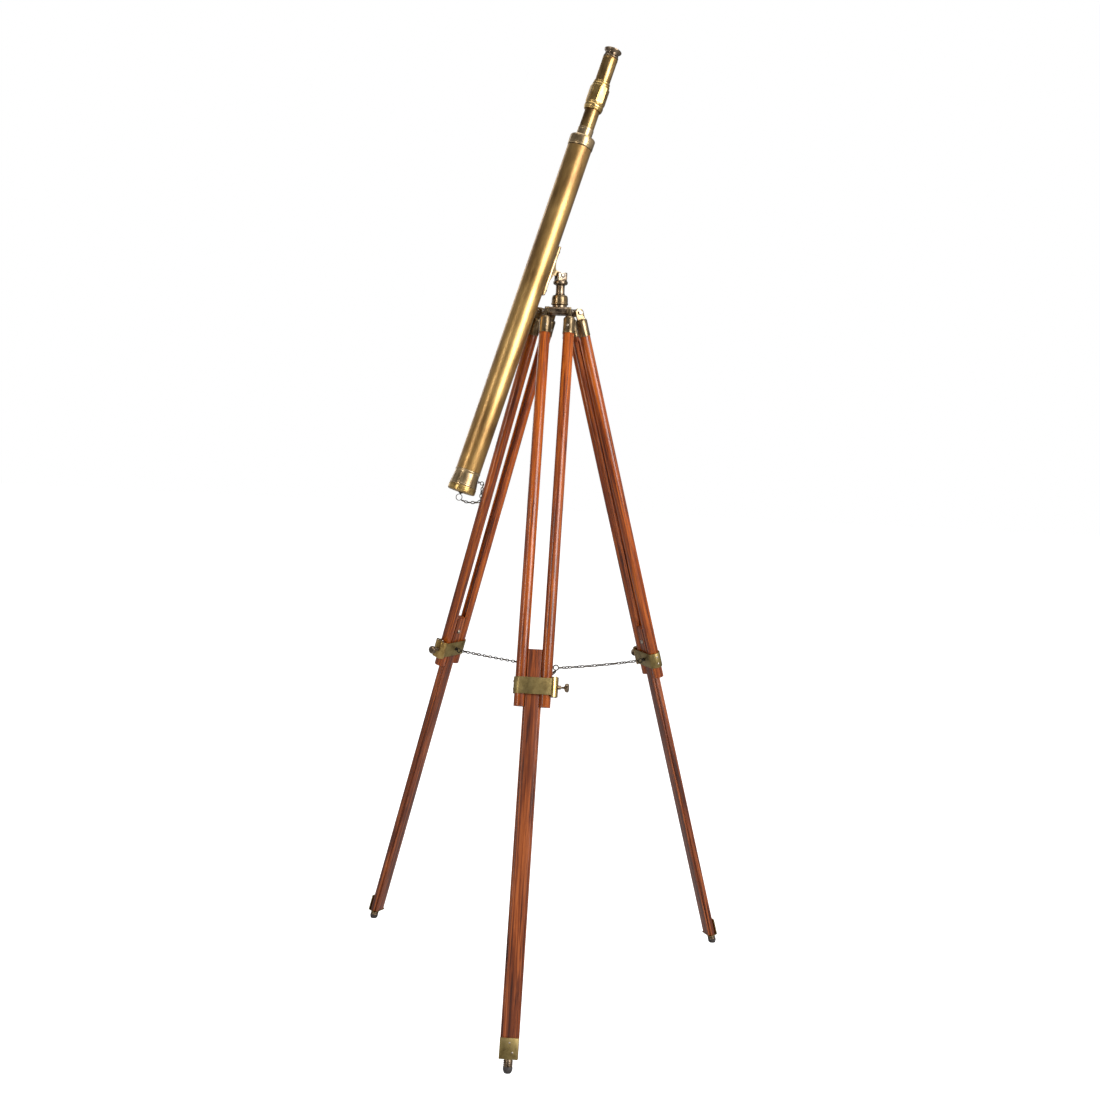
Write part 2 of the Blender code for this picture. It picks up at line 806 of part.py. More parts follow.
# ---------------------------------------------------------------- legs
def leg_meshes():
    """Each leg piece in the leg's own frame: origin on the hinge, X along the hinge, -Y outwards, -Z down the leg."""
    found = {}
    ferrule = turned(
        [
            (0.0, -FERRULE_TOP),
            (0.0060, -FERRULE_TOP),
            (FERRULE_R - 0.0019, -(FERRULE_TOP + 0.0012)),
            (FERRULE_R, -(FERRULE_TOP + 0.0040)),
            (FERRULE_R, -(FERRULE_END - 0.0045)),
            (FERRULE_R + 0.0003, -(FERRULE_END - 0.0035)),
            (FERRULE_R + 0.0003, -FERRULE_END),
            (ROD_R + 0.0004, -FERRULE_END),
            (ROD_R + 0.0004, -(ROD_TOP - 0.0003)),
            (0.0, -(ROD_TOP - 0.0003)),
        ],
        ring=True,
        steps=14,
    )
    tang_in = BARREL_HALF + 0.0003
    tang_out = tang_in + 0.0050
    tang = outline(
        arc((0, 0), 0.0086, 180, 0, 9) + [(0.0086, -0.0160), (-0.0086, -0.0160)],
        tang_out - tang_in,
        # outline X is across the tang (Y), outline Y is along the leg (Z)
        Matrix(((0, 0, 1, 0), (1, 0, 0, 0), (0, 1, 0, 0), (0, 0, 0, 1))),
    )
    tang.transform(Matrix.Translation(((tang_in + tang_out) / 2 - ROD_HALF, 0, 0)))
    fitting = union(ferrule, tang)
    fitting.transform(Matrix.Translation((ROD_HALF, 0, 0)))
    fitting = cut(fitting, rod(BORE_R, (0.01, 0, 0), (0.04, 0, 0), 8))
    found["ferrule_b"] = (fitting, "bronze")
    found["ferrule_a"] = (mirrored(fitting), "bronze")

    face = tang_out + 0.0003
    bolt = union(
        rod(BOLT_R, (-face - 0.0058, 0, 0), (face + 0.002, 0, 0), 8),
        hexagon(0.0090, (face, 0, 0), (face + 0.0042, 0, 0)),
    )
    nut = hexagon(0.0090, (-face - 0.0042, 0, 0), (-face, 0, 0))
    found["hinge_bolt"] = (union(bolt, nut), "steel")

    bar = rod(ROD_R, (ROD_HALF, 0, -ROD_TOP), (ROD_HALF, 0, -ROD_END), 20)
    groove = box(
        (0.020, GROOVE_THICK, ROD_END - GROOVE_TOP + 0.02),
        (GROOVE_HALF - 0.010, 0, -(ROD_END + GROOVE_TOP + 0.02) / 2),
    )
    bar = cut(bar, groove)
    found["rod_b"] = (bar, "rod_wood")
    found["rod_a"] = (mirrored(bar), "rod_wood")

    # Band: a strap round both rods, closed at the right by the block that the thumbscrew goes through.
    wall_in = ROD_R + BAND_CLEAR
    wall_out = wall_in + BAND_WALL
    height = BAND_END - BAND_TOP
    mouth = BLOCK_IN + 0.0010
    band = outline(
        [(mouth, wall_out)]
        + arc((-ROD_HALF, 0), wall_out, 90, 270, 11)
        + [(mouth, -wall_out), (mouth, -wall_in)]
        + arc((-ROD_HALF, 0), wall_in, 270, 90, 11)
        + [(mouth, wall_in)],
        height,
        Matrix.Translation((0, 0, -BAND_MID)),
    )
    half = wall_out + 0.0002
    block = outline(
        [(BLOCK_IN, half)]
        + [(BLOCK_IN, -half)]
        + arc((BLOCK_OUT - 0.006, -half + 0.006), 0.006, 270, 360, 4)
        + arc((BLOCK_OUT - 0.006, half - 0.006), 0.006, 0, 90, 4),
        BLOCK_END - BLOCK_TOP,
        Matrix.Translation((0, 0, -BAND_MID)),
    )
    block = bevelled(block, 0.0008, angle=60)
    hole = rod(0.0027, (0.03, 0, -BAND_MID), (0.06, 0, -BAND_MID), 12)
    found["band"] = (cut(union(band, block), hole), "band_brass")

    knob = turned(
        [
            (0.0, 0.0712),
            (0.0060, 0.0710),
            (0.0084, 0.0702),
            (0.0088, 0.0692),
            (0.0088, 0.0650),
            (0.0080, 0.0632),
            (0.0050, 0.0622),
            (0.0024, 0.0615),
            (0.0022, 0.0550),
            (0.0040, 0.0538),
            (0.0044, 0.0525),
            (0.0040, 0.0500),
            (0.0024, 0.0498),
            (0.0024, 0.0378),
            (0.0, 0.0378),
        ],
        steps=14,
    )
    knob.transform(
        Matrix.Translation((0, 0, -BAND_MID)) @ Matrix.Rotation(math.pi / 2, 4, "Y")
    )
    found["thumbscrew"] = (knob, "steel")

    eye = union(
        turned(
            [
                (0.0, 0.0058),
                (0.0016, 0.0058),
                (0.0018, 0.0022),
                (0.0042, 0.0016),
                (0.0042, 0.0003),
                (0.0, 0.0003),
            ],
            steps=12,
        ),
        ring_mesh(
            EYE_R,
            EYE_WIRE,
            Matrix.Translation((0, 0, EYE_REACH)) @ Matrix.Rotation(math.pi / 2, 4, "Y"),
        ),
    )
    eye.transform(
        Matrix.Translation((0, wall_out, -BAND_MID))
        @ Matrix.Rotation(-math.pi / 2, 4, "X")
    )
    found["chain_eye"] = (eye, "steel")

    length = BATTEN_END - BATTEN_TOP
    middle = -(BATTEN_END + BATTEN_TOP) / 2
    half_thick = BATTEN_THICK / 2
    batten = union(
        box((2 * BODY_HALF, BATTEN_THICK, length), (0, 0, middle)),
        box((2 * BATTEN_HALF, TONGUE_THICK, length), (0, 0, middle)),
    )
    screw_hole = rod(
        0.0022, (0, half_thick - 0.012, -0.7420), (0, 0.03, -0.7420), 12
    )
    batten = cut(batten, screw_hole)
    found["lower_leg"] = (batten, "leg_wood")

    stop = turned(
        [
            (0.0, 0.0038),
            (0.0022, 0.0036),
            (0.0042, 0.0026),
            (0.0050, 0.0012),
            (0.0050, 0.0003),
            (0.0019, 0.0003),
            (0.0019, -0.0115),
            (0.0, -0.0115),
        ],
        steps=10,
    )
    stop.transform(
        Matrix.Translation((0, half_thick, -0.7420)) @ Matrix.Rotation(-math.pi / 2, 4, "X")
    )
    found["stop_screw"] = (stop, "steel")

    # Foot plate: an angle on the outer face and under the end.
    under = -(BATTEN_END + 0.0003)
    plate = union(
        box(
            (2 * BATTEN_HALF, PLATE_WALL, BATTEN_END + 0.0003 + PLATE_WALL - PLATE_TOP),
            (
                0,
                -(half_thick + 0.0003 + PLATE_WALL / 2),
                -(BATTEN_END + 0.0003 + PLATE_WALL + PLATE_TOP) / 2,
            ),
        ),
        box(
            (2 * BATTEN_HALF, BATTEN_THICK + PLATE_WALL, PLATE_WALL),
            (0, -PLATE_WALL / 2, under - PLATE_WALL / 2),
        ),
    )
    found["foot_plate"] = (plate, "brass")
    return found


def foot_mesh(to_floor):
    """The ribbed foot, cut level where it meets the floor. to_floor takes the leg's frame to the stand's."""
    half_thick = BATTEN_THICK / 2
    start = BATTEN_END + 0.0006 + PLATE_WALL
    profile = [(0.0, -start), (0.0084, -start), (FOOT_R, -(start + 0.0010))]
    profile += [(FOOT_R, -(start + 0.0400)), (0.0, -(start + 0.0400))]
    foot = turned(profile, steps=16)
    foot.transform(Matrix.Translation((0, -FOOT_OFFSET, 0)))
    below = box((0.4, 0.4, 0.2), (0, 0, -0.1))
    # the floor in the leg's frame
    below.transform(
        to_floor.inverted()
        @ Matrix.Translation((to_floor @ Vector((0, 0, -start))).xy.to_3d())
    )
    return cut(foot, below)


def make_legs():
    meshes = leg_meshes()
    foot = None
    wall_out = ROD_R + BAND_CLEAR + BAND_WALL
    for name, azimuth in LEG_AZIMUTHS:
        turn = math.radians(azimuth)
        place = Matrix.Rotation(turn, 4, "Z") @ Vector((0, -HINGE_R, HINGE_Z))
        leg = empty("leg_" + name + "_hinge", ROOT, place, (-SPLAY, 0, turn))
        for part, (mesh, finish) in meshes.items():
            piece(part + "_" + name, mesh, finish, leg)
        bpy.context.view_layer.update()
        local = ROOT.matrix_world.inverted() @ leg.matrix_world
        if foot is None:
            foot = foot_mesh(local)
        piece("foot_" + name, foot, "bronze", leg)
        # Arm of the spreader chain, from the band's eye to the ring in the middle.
        eye = local @ Vector((0, wall_out + EYE_REACH, -BAND_MID))
        centre = Vector((RING_SHIFT, 0, eye.z - 0.004))
        outward = Vector((eye.x - centre.x, eye.y - centre.y, 0)).normalized()
        start = eye - outward * (EYE_R + EYE_WIRE + 0.0022)
        # The ring hangs upright across the front: two arms hold its sides and the front arm its lowest point.
        side = Vector((0, 0, -1)) if azimuth == 0 else Vector((math.copysign(1, eye.x), 0, 0))
        end = centre + side * (RING_R + RING_WIRE + 0.0019)
        path = []
        for i in range(7):
            t = i / 6.0
            point = start.lerp(end, t)
            point.z -= 4 * CHAIN_SAG * t * (1 - t)
            path.append(point)
        piece("chain_" + name, tube(path, CHAIN_R), "steel", ROOT)
    return centre


make_head()
make_telescope(make_post())
ring_centre = make_legs()
piece(
    "chain_ring",
    ring_mesh(
        RING_R,
        RING_WIRE,
        Matrix.Translation(ring_centre) @ Matrix.Rotation(math.pi / 2, 4, "X"),
    ),
    "steel",
    ROOT,
)
bpy.data.collections.remove(WORK)
bpy.context.view_layer.update()
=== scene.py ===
"""The looks of the telescope on its tripod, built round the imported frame.

Metres, +Z up. The front leg points along -Y. Legs are described in their own frame: origin on the hinge,
X along the hinge, -Y outwards, -Z down the leg. The telescope's frame has its origin on the tube's axis
beside the tilt screw, X away from the screw, Y along it and Z towards the eyepiece.
"""

import math

import bmesh
import bpy
from mathutils import Matrix, Vector


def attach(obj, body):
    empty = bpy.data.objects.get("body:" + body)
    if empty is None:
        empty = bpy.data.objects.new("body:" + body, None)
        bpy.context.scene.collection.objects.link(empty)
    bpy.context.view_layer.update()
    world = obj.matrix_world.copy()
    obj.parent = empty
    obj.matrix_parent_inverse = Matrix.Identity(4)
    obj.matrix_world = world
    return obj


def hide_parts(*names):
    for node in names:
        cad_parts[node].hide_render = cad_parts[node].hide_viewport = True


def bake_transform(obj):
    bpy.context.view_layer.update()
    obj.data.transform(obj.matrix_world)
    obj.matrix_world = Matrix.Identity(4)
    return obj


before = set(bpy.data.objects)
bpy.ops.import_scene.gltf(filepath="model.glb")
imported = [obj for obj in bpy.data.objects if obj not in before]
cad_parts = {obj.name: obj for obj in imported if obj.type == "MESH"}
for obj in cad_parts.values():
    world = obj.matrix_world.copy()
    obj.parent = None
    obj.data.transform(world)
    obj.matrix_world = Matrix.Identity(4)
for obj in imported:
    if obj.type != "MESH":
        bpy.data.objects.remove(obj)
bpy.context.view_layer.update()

# ---------------------------------------------------------------- dimensions, as in the CAD
AXIS_X, AXIS_Y = 0.0, 0.114632
HINGE_Z, HINGE_R = 1.442, 0.0352
BARREL_R, BARREL_HALF, BORE_R, BOLT_R = 0.009, 0.022, 0.0033, 0.0030
HUB_R, BELL_TOP, BELL_R = 0.0155, 1.4775, 0.0172
SPLAY = math.radians(16.68)
LEGS = (("front", 0.0), ("left", -120.0), ("right", 120.0))
ROD_R, ROD_HALF, ROD_TOP, ROD_END = 0.0118, 0.02475, 0.0185, 0.8236
FERRULE_TOP, FERRULE_END, FERRULE_R = 0.0135, 0.0500, 0.0127
GROOVE_TOP, GROOVE_HALF, GROOVE_THICK = 0.060, 0.0182, 0.0100
BAND_TOP, BAND_END = 0.7660, 0.7990
BAND_MID = 0.5 * (BAND_TOP + BAND_END)
BAND_WALL, BAND_CLEAR = 0.0022, 0.0004
BLOCK_IN, BLOCK_OUT, BLOCK_TOP, BLOCK_END = 0.0373, 0.0495, 0.7630, 0.8020
BATTEN_HALF, BODY_HALF, BATTEN_THICK, TONGUE_THICK = 0.0178, 0.0134, 0.0175, 0.0092
BATTEN_TOP, BATTEN_END = 0.7100, 1.4800
PLATE_TOP, PLATE_WALL = 1.4440, 0.0022
FOOT_R, FOOT_OFFSET = 0.0091, 0.0035
EYE_REACH, EYE_R, EYE_WIRE = 0.0090, 0.0046, 0.0011
RING_R, RING_WIRE, CHAIN_SAG, RING_SHIFT = 0.0056, 0.0011, 0.002, 0.025
TILT_Z = 1.5180
TELESCOPE_AZIMUTH = math.radians(-60.0)
LEAN = math.radians(18.3)
FORK_HALF, SLOT_HALF, LUG_HALF, FORK_R, LUG_R = 0.0100, 0.0044, 0.0040, 0.0108, 0.0068
EAR_TOP = TILT_Z + 0.0062
TUBE_OFFSET = 0.0540
TUBE_R, TUBE_WALL = 0.02595, 0.00135
TUBE_A, TUBE_B = -0.2621, 0.4538
COLLAR_A = -0.2849
BUSH_A, BUSH_B, BUSH_R = -0.3046, -0.2560, 0.0168
DRAW_R, DRAW_WALL, DRAW_A, DRAW_B, GUIDE_A = 0.01585, 0.0010, -0.3600, -0.1900, -0.1980
SLEEVE_BORE = 0.0163
EYEPIECE_R, EYEPIECE_A, EYEPIECE_B = 0.0160, -0.4633, -0.3750
CUP_A, CUP_B = -0.4812, -0.4550
SHADE_B, CAP_A, CAP_B = 0.4975, 0.4880, 0.5009
# Course of the cap's chain: parts of the way across and of the way up, from the split ring to the screw eye.
CAP_CHAIN_COURSE = (
    (0.0, 0.0), (0.30, -0.13), (0.54, -0.12), (0.75, -0.11),
    (0.89, 0.03), (0.88, 0.22), (0.91, 0.50), (0.94, 0.80), (1.0, 1.0),
)
BAR_HALF, BAR_THICK, BAR_WIDE = 0.0540, 0.0056, 0.0060

# ---------------------------------------------------------------- camera
CAM_TURN, CAM_DIST, CAM_HEIGHT = 0.0795, 2.8651, 1.2324
CAM_PITCH, CAM_YAW, CAM_ROLL, CAM_FOCAL_PX = -0.1027, 0.0005, 0.042, 1340.3


def make_camera():
    turn = Matrix.Rotation(CAM_TURN, 3, "Z")
    forward = turn @ Vector(
        (
            math.sin(CAM_YAW) * math.cos(CAM_PITCH),
            math.cos(CAM_YAW) * math.cos(CAM_PITCH),
            math.sin(CAM_PITCH),
        )
    )
    right = forward.cross(Vector((0, 0, 1))).normalized()
    up = right.cross(forward)
    c, s = math.cos(CAM_ROLL), math.sin(CAM_ROLL)
    x_axis = c * right + s * up
    y_axis = -s * right + c * up
    data = bpy.data.cameras.new("camera")
    camera = bpy.data.objects.new("camera", data)
    bpy.context.scene.collection.objects.link(camera)
    place = turn @ Vector((0, -CAM_DIST, CAM_HEIGHT)) + Vector((AXIS_X, AXIS_Y, 0))
    matrix = Matrix((x_axis, y_axis, -forward)).transposed().to_4x4()
    matrix.translation = place
    camera.matrix_world = matrix
    data.sensor_width = 36.0
    data.sensor_fit = "HORIZONTAL"
    data.lens = 36.0 * CAM_FOCAL_PX / 1100.0
    data.clip_start = 0.05
    data.clip_end = 60.0
    bpy.context.scene.camera = camera


# ---------------------------------------------------------------- materials
def new_material(name):
    made = bpy.data.materials.new(name)
    made.use_nodes = True
    tree = made.node_tree
    return made, tree, tree.nodes["Principled BSDF"]


def mapped(tree, scale, rotation=(0, 0, 0)):
    coords = tree.nodes.new("ShaderNodeTexCoord")
    mapping = tree.nodes.new("ShaderNodeMapping")
    mapping.inputs["Scale"].default_value = scale
    mapping.inputs["Rotation"].default_value = rotation
    tree.links.new(coords.outputs["Object"], mapping.inputs["Vector"])
    return mapping.outputs["Vector"]


def noise(tree, vector, scale, detail=4.0, rough=0.5, distortion=0.0):
    node = tree.nodes.new("ShaderNodeTexNoise")
    node.inputs["Scale"].default_value = scale
    node.inputs["Detail"].default_value = detail
    node.inputs["Roughness"].default_value = rough
    node.inputs["Distortion"].default_value = distortion
    tree.links.new(vector, node.inputs["Vector"])
    return node.outputs["Fac"]


def ramp(tree, value, stops):
    node = tree.nodes.new("ShaderNodeValToRGB")
    elements = node.color_ramp.elements
    while len(elements) < len(stops):
        elements.new(0.5)
    for element, (place, colour) in zip(elements, stops):
        element.position = place
        element.color = (*colour, 1.0)
    tree.links.new(value, node.inputs["Fac"])
    return node.outputs["Color"]


def to_range(tree, value, low, high, new_low, new_high):
    node = tree.nodes.new("ShaderNodeMapRange")
    node.inputs["From Min"].default_value = low
    node.inputs["From Max"].default_value = high
    node.inputs["To Min"].default_value = new_low
    node.inputs["To Max"].default_value = new_high
    tree.links.new(value, node.inputs["Value"])
    return node.outputs["Result"]


def mix_colour(tree, factor, first, second, kind="MIX"):
    node = tree.nodes.new("ShaderNodeMix")
    node.data_type = "RGBA"
    node.blend_type = kind
    if isinstance(factor, float):
        node.inputs[0].default_value = factor
    else:
        tree.links.new(factor, node.inputs[0])
    for socket, source in ((node.inputs[6], first), (node.inputs[7], second)):
        if isinstance(source, tuple):
            socket.default_value = (*source, 1.0)
        else:
            tree.links.new(source, socket)
    return node.outputs[2]


def bump(tree, shader, height, strength, distance):
    node = tree.nodes.new("ShaderNodeBump")
    node.inputs["Strength"].default_value = strength
    node.inputs["Distance"].default_value = distance
    tree.links.new(height, node.inputs["Height"])
    tree.links.new(node.outputs["Normal"], shader.inputs["Normal"])


def metal(name, light, middle, dark, rough=(0.22, 0.36), blotch=26.0, stretch=0.4, fine=900.0, strength=0.05):
    """Aged metal: cloudy tone along the piece, small dark specks, and uneven gloss."""
    made, tree, shader = new_material(name)
    along = mapped(tree, (1, 1, stretch))
    cloud = noise(tree, along, blotch, 5.0, 0.55, 0.3)
    tone = ramp(tree, cloud, ((0.30, dark), (0.48, middle), (0.72, light)))
    specks = noise(tree, mapped(tree, (1, 1, 1)), 330.0, 3.0, 0.6)
    spot = to_range(tree, specks, 0.62, 0.74, 0.0, 0.55)
    colour = mix_colour(tree, spot, tone, tuple(c * 0.45 for c in dark))
    tree.links.new(colour, shader.inputs["Base Color"])
    shader.inputs["Metallic"].default_value = 1.0
    gloss = noise(tree, mapped(tree, (1, 1, 0.25)), 60.0, 6.0, 0.65)
    tree.links.new(to_range(tree, gloss, 0.3, 0.7, *rough), shader.inputs["Roughness"])
    bump(tree, shader, noise(tree, mapped(tree, (1, 1, 0.3)), fine, 3.0, 0.6), strength, 0.0004)
    return made


def wood(name, light, middle, dark, rough, coat, grain=150.0, contrast=1.0, end_grain=None):
    """Stained wood: streaks and pores that run down the piece, broad patches, and a lacquer coat."""
    made, tree, shader = new_material(name)
    streaks = noise(tree, mapped(tree, (1, 1, 0.028)), grain, 9.0, 0.62, 1.1)
    base = ramp(
        tree,
        streaks,
        ((0.5 - 0.17 / contrast, dark), (0.5, middle), (0.5 + 0.16 / contrast, light)),
    )
    patches = noise(tree, mapped(tree, (1, 1, 0.22)), 13.0, 3.0, 0.5, 0.4)
    broad = ramp(tree, patches, ((0.34, (0.62, 0.56, 0.52)), (0.62, (1.12, 1.08, 1.05))))
    base = mix_colour(tree, 0.85, base, broad, "MULTIPLY")
    pores = noise(tree, mapped(tree, (1, 1, 0.035)), 900.0, 2.0, 0.5)
    lines = to_range(tree, pores, 0.60, 0.70, 0.0, 0.6)
    colour = mix_colour(tree, lines, base, tuple(c * 0.35 for c in dark))
    tree.links.new(colour, shader.inputs["Base Color"])
    tree.links.new(to_range(tree, streaks, 0.3, 0.7, rough + 0.08, rough - 0.05), shader.inputs["Roughness"])
    shader.inputs["Coat Weight"].default_value = coat
    shader.inputs["Coat Roughness"].default_value = 0.12
    shader.inputs["Specular IOR Level"].default_value = 0.4
    bump(tree, shader, pores, 0.12, 0.0004)
    return made


def rubber(name, colour):
    made, tree, shader = new_material(name)
    dust = noise(tree, mapped(tree, (1, 1, 1)), 260.0, 5.0, 0.6)
    tone = ramp(tree, dust, ((0.35, tuple(c * 0.55 for c in colour)), (0.7, colour)))
    tree.links.new(tone, shader.inputs["Base Color"])
    shader.inputs["Roughness"].default_value = 0.6
    bump(tree, shader, dust, 0.15, 0.0003)
    return made


def lens_glass(name):
    made, tree, shader = new_material(name)
    tint = noise(tree, mapped(tree, (1, 1, 1)), 8.0, 2.0)
    tree.links.new(
        ramp(tree, tint, ((0.2, (0.90, 0.95, 0.97)), (0.8, (0.96, 0.97, 1.0)))),
        shader.inputs["Base Color"],
    )
    shader.inputs["Roughness"].default_value = 0.02
    shader.inputs["Transmission Weight"].default_value = 1.0
    shader.inputs["IOR"].default_value = 1.52
    return made


FINISH = {}


def make_materials():
    FINISH["brass_tube"] = metal(
        "brass_tube", (0.72, 0.46, 0.165), (0.46, 0.270, 0.085), (0.20, 0.095, 0.026), (0.33, 0.46), 22.0, 0.36
    )
    lacquer = next(n for n in FINISH["brass_tube"].node_tree.nodes if n.type == "BSDF_PRINCIPLED")
    lacquer.inputs["Coat Weight"].default_value = 0.45
    lacquer.inputs["Coat Roughness"].default_value = 0.30
    FINISH["draw_brass"] = metal(
        "draw_brass", (0.56, 0.37, 0.16), (0.34, 0.205, 0.075), (0.13, 0.068, 0.022), (0.24, 0.38), 40.0, 0.45
    )
    FINISH["brass"] = metal(
        "brass_bright", (0.70, 0.48, 0.19), (0.50, 0.33, 0.115), (0.27, 0.155, 0.05), (0.22, 0.36), 55.0, 0.8
    )
    FINISH["pale_brass"] = metal(
        "pale_brass", (0.62, 0.46, 0.27), (0.44, 0.315, 0.17), (0.20, 0.13, 0.065), (0.24, 0.38), 50.0, 0.6
    )
    FINISH["bronze"] = metal(
        "bronze", (0.42, 0.32, 0.22), (0.22, 0.16, 0.105), (0.055, 0.038, 0.024), (0.20, 0.36), 80.0, 1.0, 500.0, 0.12
    )
    FINISH["ferrule"] = metal(
        "ferrule_brass", (0.46, 0.335, 0.19), (0.26, 0.185, 0.10), (0.085, 0.057, 0.030), (0.22, 0.40), 70.0, 0.5
    )
    FINISH["band_brass"] = metal(
        "band_brass", (0.38, 0.285, 0.12), (0.27, 0.20, 0.078), (0.16, 0.11, 0.042), (0.36, 0.52), 60.0, 1.0, 420.0, 0.10
    )
    FINISH["steel"] = metal(
        "screw_steel", (0.60, 0.53, 0.45), (0.40, 0.34, 0.27), (0.13, 0.10, 0.08), (0.20, 0.38), 120.0, 1.0
    )
    FINISH["chain"] = metal(
        "chain_metal", (0.13, 0.105, 0.08), (0.07, 0.056, 0.042), (0.02, 0.016, 0.012), (0.34, 0.50), 150.0, 1.0
    )
    # Painted shade: a near-black finish for thin rings laid in the gaps where the collar meets the tube and where the
    # draw bush meets the collar. It stands in for the shade in those crevices.
    FINISH["shadow"] = metal(
        "painted_gap_shade", (0.05, 0.035, 0.02), (0.03, 0.02, 0.012), (0.015, 0.01, 0.006), (0.45, 0.6), 80.0, 1.0
    )
    FINISH["rod_wood"] = wood(
        "rod_wood", (0.50, 0.122, 0.010), (0.30, 0.058, 0.005), (0.085, 0.013, 0.002), 0.28, 0.25, 190.0, 1.3
    )
    FINISH["leg_wood"] = wood(
        "leg_wood", (0.42, 0.115, 0.028), (0.21, 0.046, 0.010), (0.045, 0.008, 0.002), 0.36, 0.12, 140.0, 1.35
    )
    FINISH["rubber"] = rubber("foot_rubber", (0.055, 0.045, 0.042))
    FINISH["glass"] = lens_glass("lens_glass")


# ---------------------------------------------------------------- shapes
WORK = bpy.data.collections.new("helpers")
bpy.context.scene.collection.children.link(WORK)
I4 = Matrix.Identity(4)


def helper(data):
    made = bpy.data.objects.new("helper", data)
    WORK.objects.link(made)
    return made


def evaluated_mesh(obj, weld=1e-6):
    bpy.context.view_layer.update()
    graph = bpy.context.evaluated_depsgraph_get()
    mesh = bpy.data.meshes.new_from_object(obj.evaluated_get(graph))
    bm = bmesh.new()
    bm.from_mesh(mesh)
    bmesh.ops.remove_doubles(bm, verts=bm.verts, dist=weld)
    bmesh.ops.recalc_face_normals(bm, faces=bm.faces)
    bm.to_mesh(mesh)
    bm.free()
    bpy.data.objects.remove(obj, do_unlink=True)
    return mesh


def turned(profile, ring=False, steps=72):
    mesh = bpy.data.meshes.new("profile")
    count = len(profile)
    edges = [(i, i + 1) for i in range(count - 1)]
    if ring:
        edges.append((count - 1, 0))
    mesh.from_pydata([(r, 0.0, z) for r, z in profile], edges, [])
    obj = helper(mesh)
    screw = obj.modifiers.new("Screw", "SCREW")
    screw.axis = "Z"
    screw.angle = 2 * math.pi
    screw.steps = steps
    screw.render_steps = steps
    screw.use_merge_vertices = True
    screw.merge_threshold = 1e-5
    return evaluated_mesh(obj)


def softened(profile, radius, segments=3, ring=True):
    """The profile with its corners rounded to at most this radius."""
    found = []
    count = len(profile)
    for i, (px, pz) in enumerate(profile):
        if not ring and i in (0, count - 1) or px < 1e-6:
            found.append((px, pz))
            continue
        before, after = Vector(profile[i - 1]), Vector(profile[(i + 1) % count])
        here = Vector((px, pz))
        d1, d2 = before - here, after - here
        if d1.length < 1e-7 or d2.length < 1e-7 or abs(d1.angle(d2) - math.pi) < 0.12:
            found.append((px, pz))
            continue
        reach = min(radius, 0.45 * d1.length, 0.45 * d2.length)
        a, b = here + d1.normalized() * reach, here + d2.normalized() * reach
        for k in range(segments + 1):
            t = k / segments
            point = (1 - t) ** 2 * a + 2 * t * (1 - t) * here + t * t * b
            found.append((point.x, point.y))
    return found


def lathe(profile, ring=True, steps=72, soft=0.0005):
    return turned(softened(profile, soft, 3, ring), ring, steps)


def box(size, centre):
    bm = bmesh.new()
    bmesh.ops.create_cube(
        bm, size=1.0, matrix=Matrix.Translation(centre) @ Matrix.Diagonal((*size, 1.0))
    )
    mesh = bpy.data.meshes.new("box")
    bm.to_mesh(mesh)
    bm.free()
    return mesh


def rod(radius, start, end, segments=40, radius_end=None, turn=0.0):
    start, end = Vector(start), Vector(end)
    along = end - start
    place = (
        Matrix.Translation((start + end) / 2)
        @ along.to_track_quat("Z", "Y").to_matrix().to_4x4()
        @ Matrix.Rotation(turn, 4, "Z")
    )
    bm = bmesh.new()
    bmesh.ops.create_cone(
        bm,
        cap_ends=True,
        cap_tris=False,
        segments=segments,
        radius1=radius,
        radius2=radius if radius_end is None else radius_end,
        depth=along.length,
        matrix=place,
    )
    mesh = bpy.data.meshes.new("rod")
    bm.to_mesh(mesh)
    bm.free()
    return mesh


def hexagon(across, start, end, turn=0.0):
    return rod(across / math.sqrt(3.0), start, end, 6, turn=turn)


def torus(major, minor, place=I4, major_segments=40, minor_segments=12):
    points = [
        (major * math.cos(2 * math.pi * i / major_segments), major * math.sin(2 * math.pi * i / major_segments), 0.0)
        for i in range(major_segments)
    ]
    mesh = wire(points, minor, True, (minor_segments - 4) // 2)
    mesh.transform(place)
    return mesh


def wire(points, radius, closed=False, resolution=3):
    curve = bpy.data.curves.new("wire", "CURVE")
    curve.dimensions = "3D"
    curve.bevel_depth = radius
    curve.bevel_resolution = resolution
    curve.use_fill_caps = not closed
    spline = curve.splines.new("POLY")
    spline.points.add(len(points) - 1)
    for point, place in zip(spline.points, points):
        point.co = (*place, 1.0)
    spline.use_cyclic_u = closed
    return evaluated_mesh(helper(curve))


def outline(points, depth, place=None):
    curve = bpy.data.curves.new("outline", "CURVE")
    curve.dimensions = "2D"
    curve.fill_mode = "BOTH"
    curve.extrude = depth / 2
    spline = curve.splines.new("POLY")
    spline.points.add(len(points) - 1)
    for point, (x, y) in zip(spline.points, points):
        point.co = (x, y, 0.0, 1.0)
    spline.use_cyclic_u = True
    mesh = evaluated_mesh(helper(curve))
    if place is not None:
        mesh.transform(place)
    return mesh


def combine(base, others, operation):
    obj = helper(base)
    tools = []
    for other in others:
        tool = helper(other)
        tools.append(tool)
        change = obj.modifiers.new("Boolean", "BOOLEAN")
        change.operation = operation
        change.solver = "EXACT"
        change.object = tool
    mesh = evaluated_mesh(obj)
    for tool in tools:
        bpy.data.objects.remove(tool, do_unlink=True)
    return mesh


def union(base, *others):
    return combine(base, others, "UNION")


def cut(base, *others):
    return combine(base, others, "DIFFERENCE")


def bevelled(mesh, width, segments=2, angle=38):
    obj = helper(mesh)
    bevel = obj.modifiers.new("Bevel", "BEVEL")
    bevel.width = width
    bevel.segments = segments
    bevel.limit_method = "ANGLE"
    bevel.angle_limit = math.radians(angle)
    bevel.use_clamp_overlap = True
    return evaluated_mesh(obj, 1e-7)


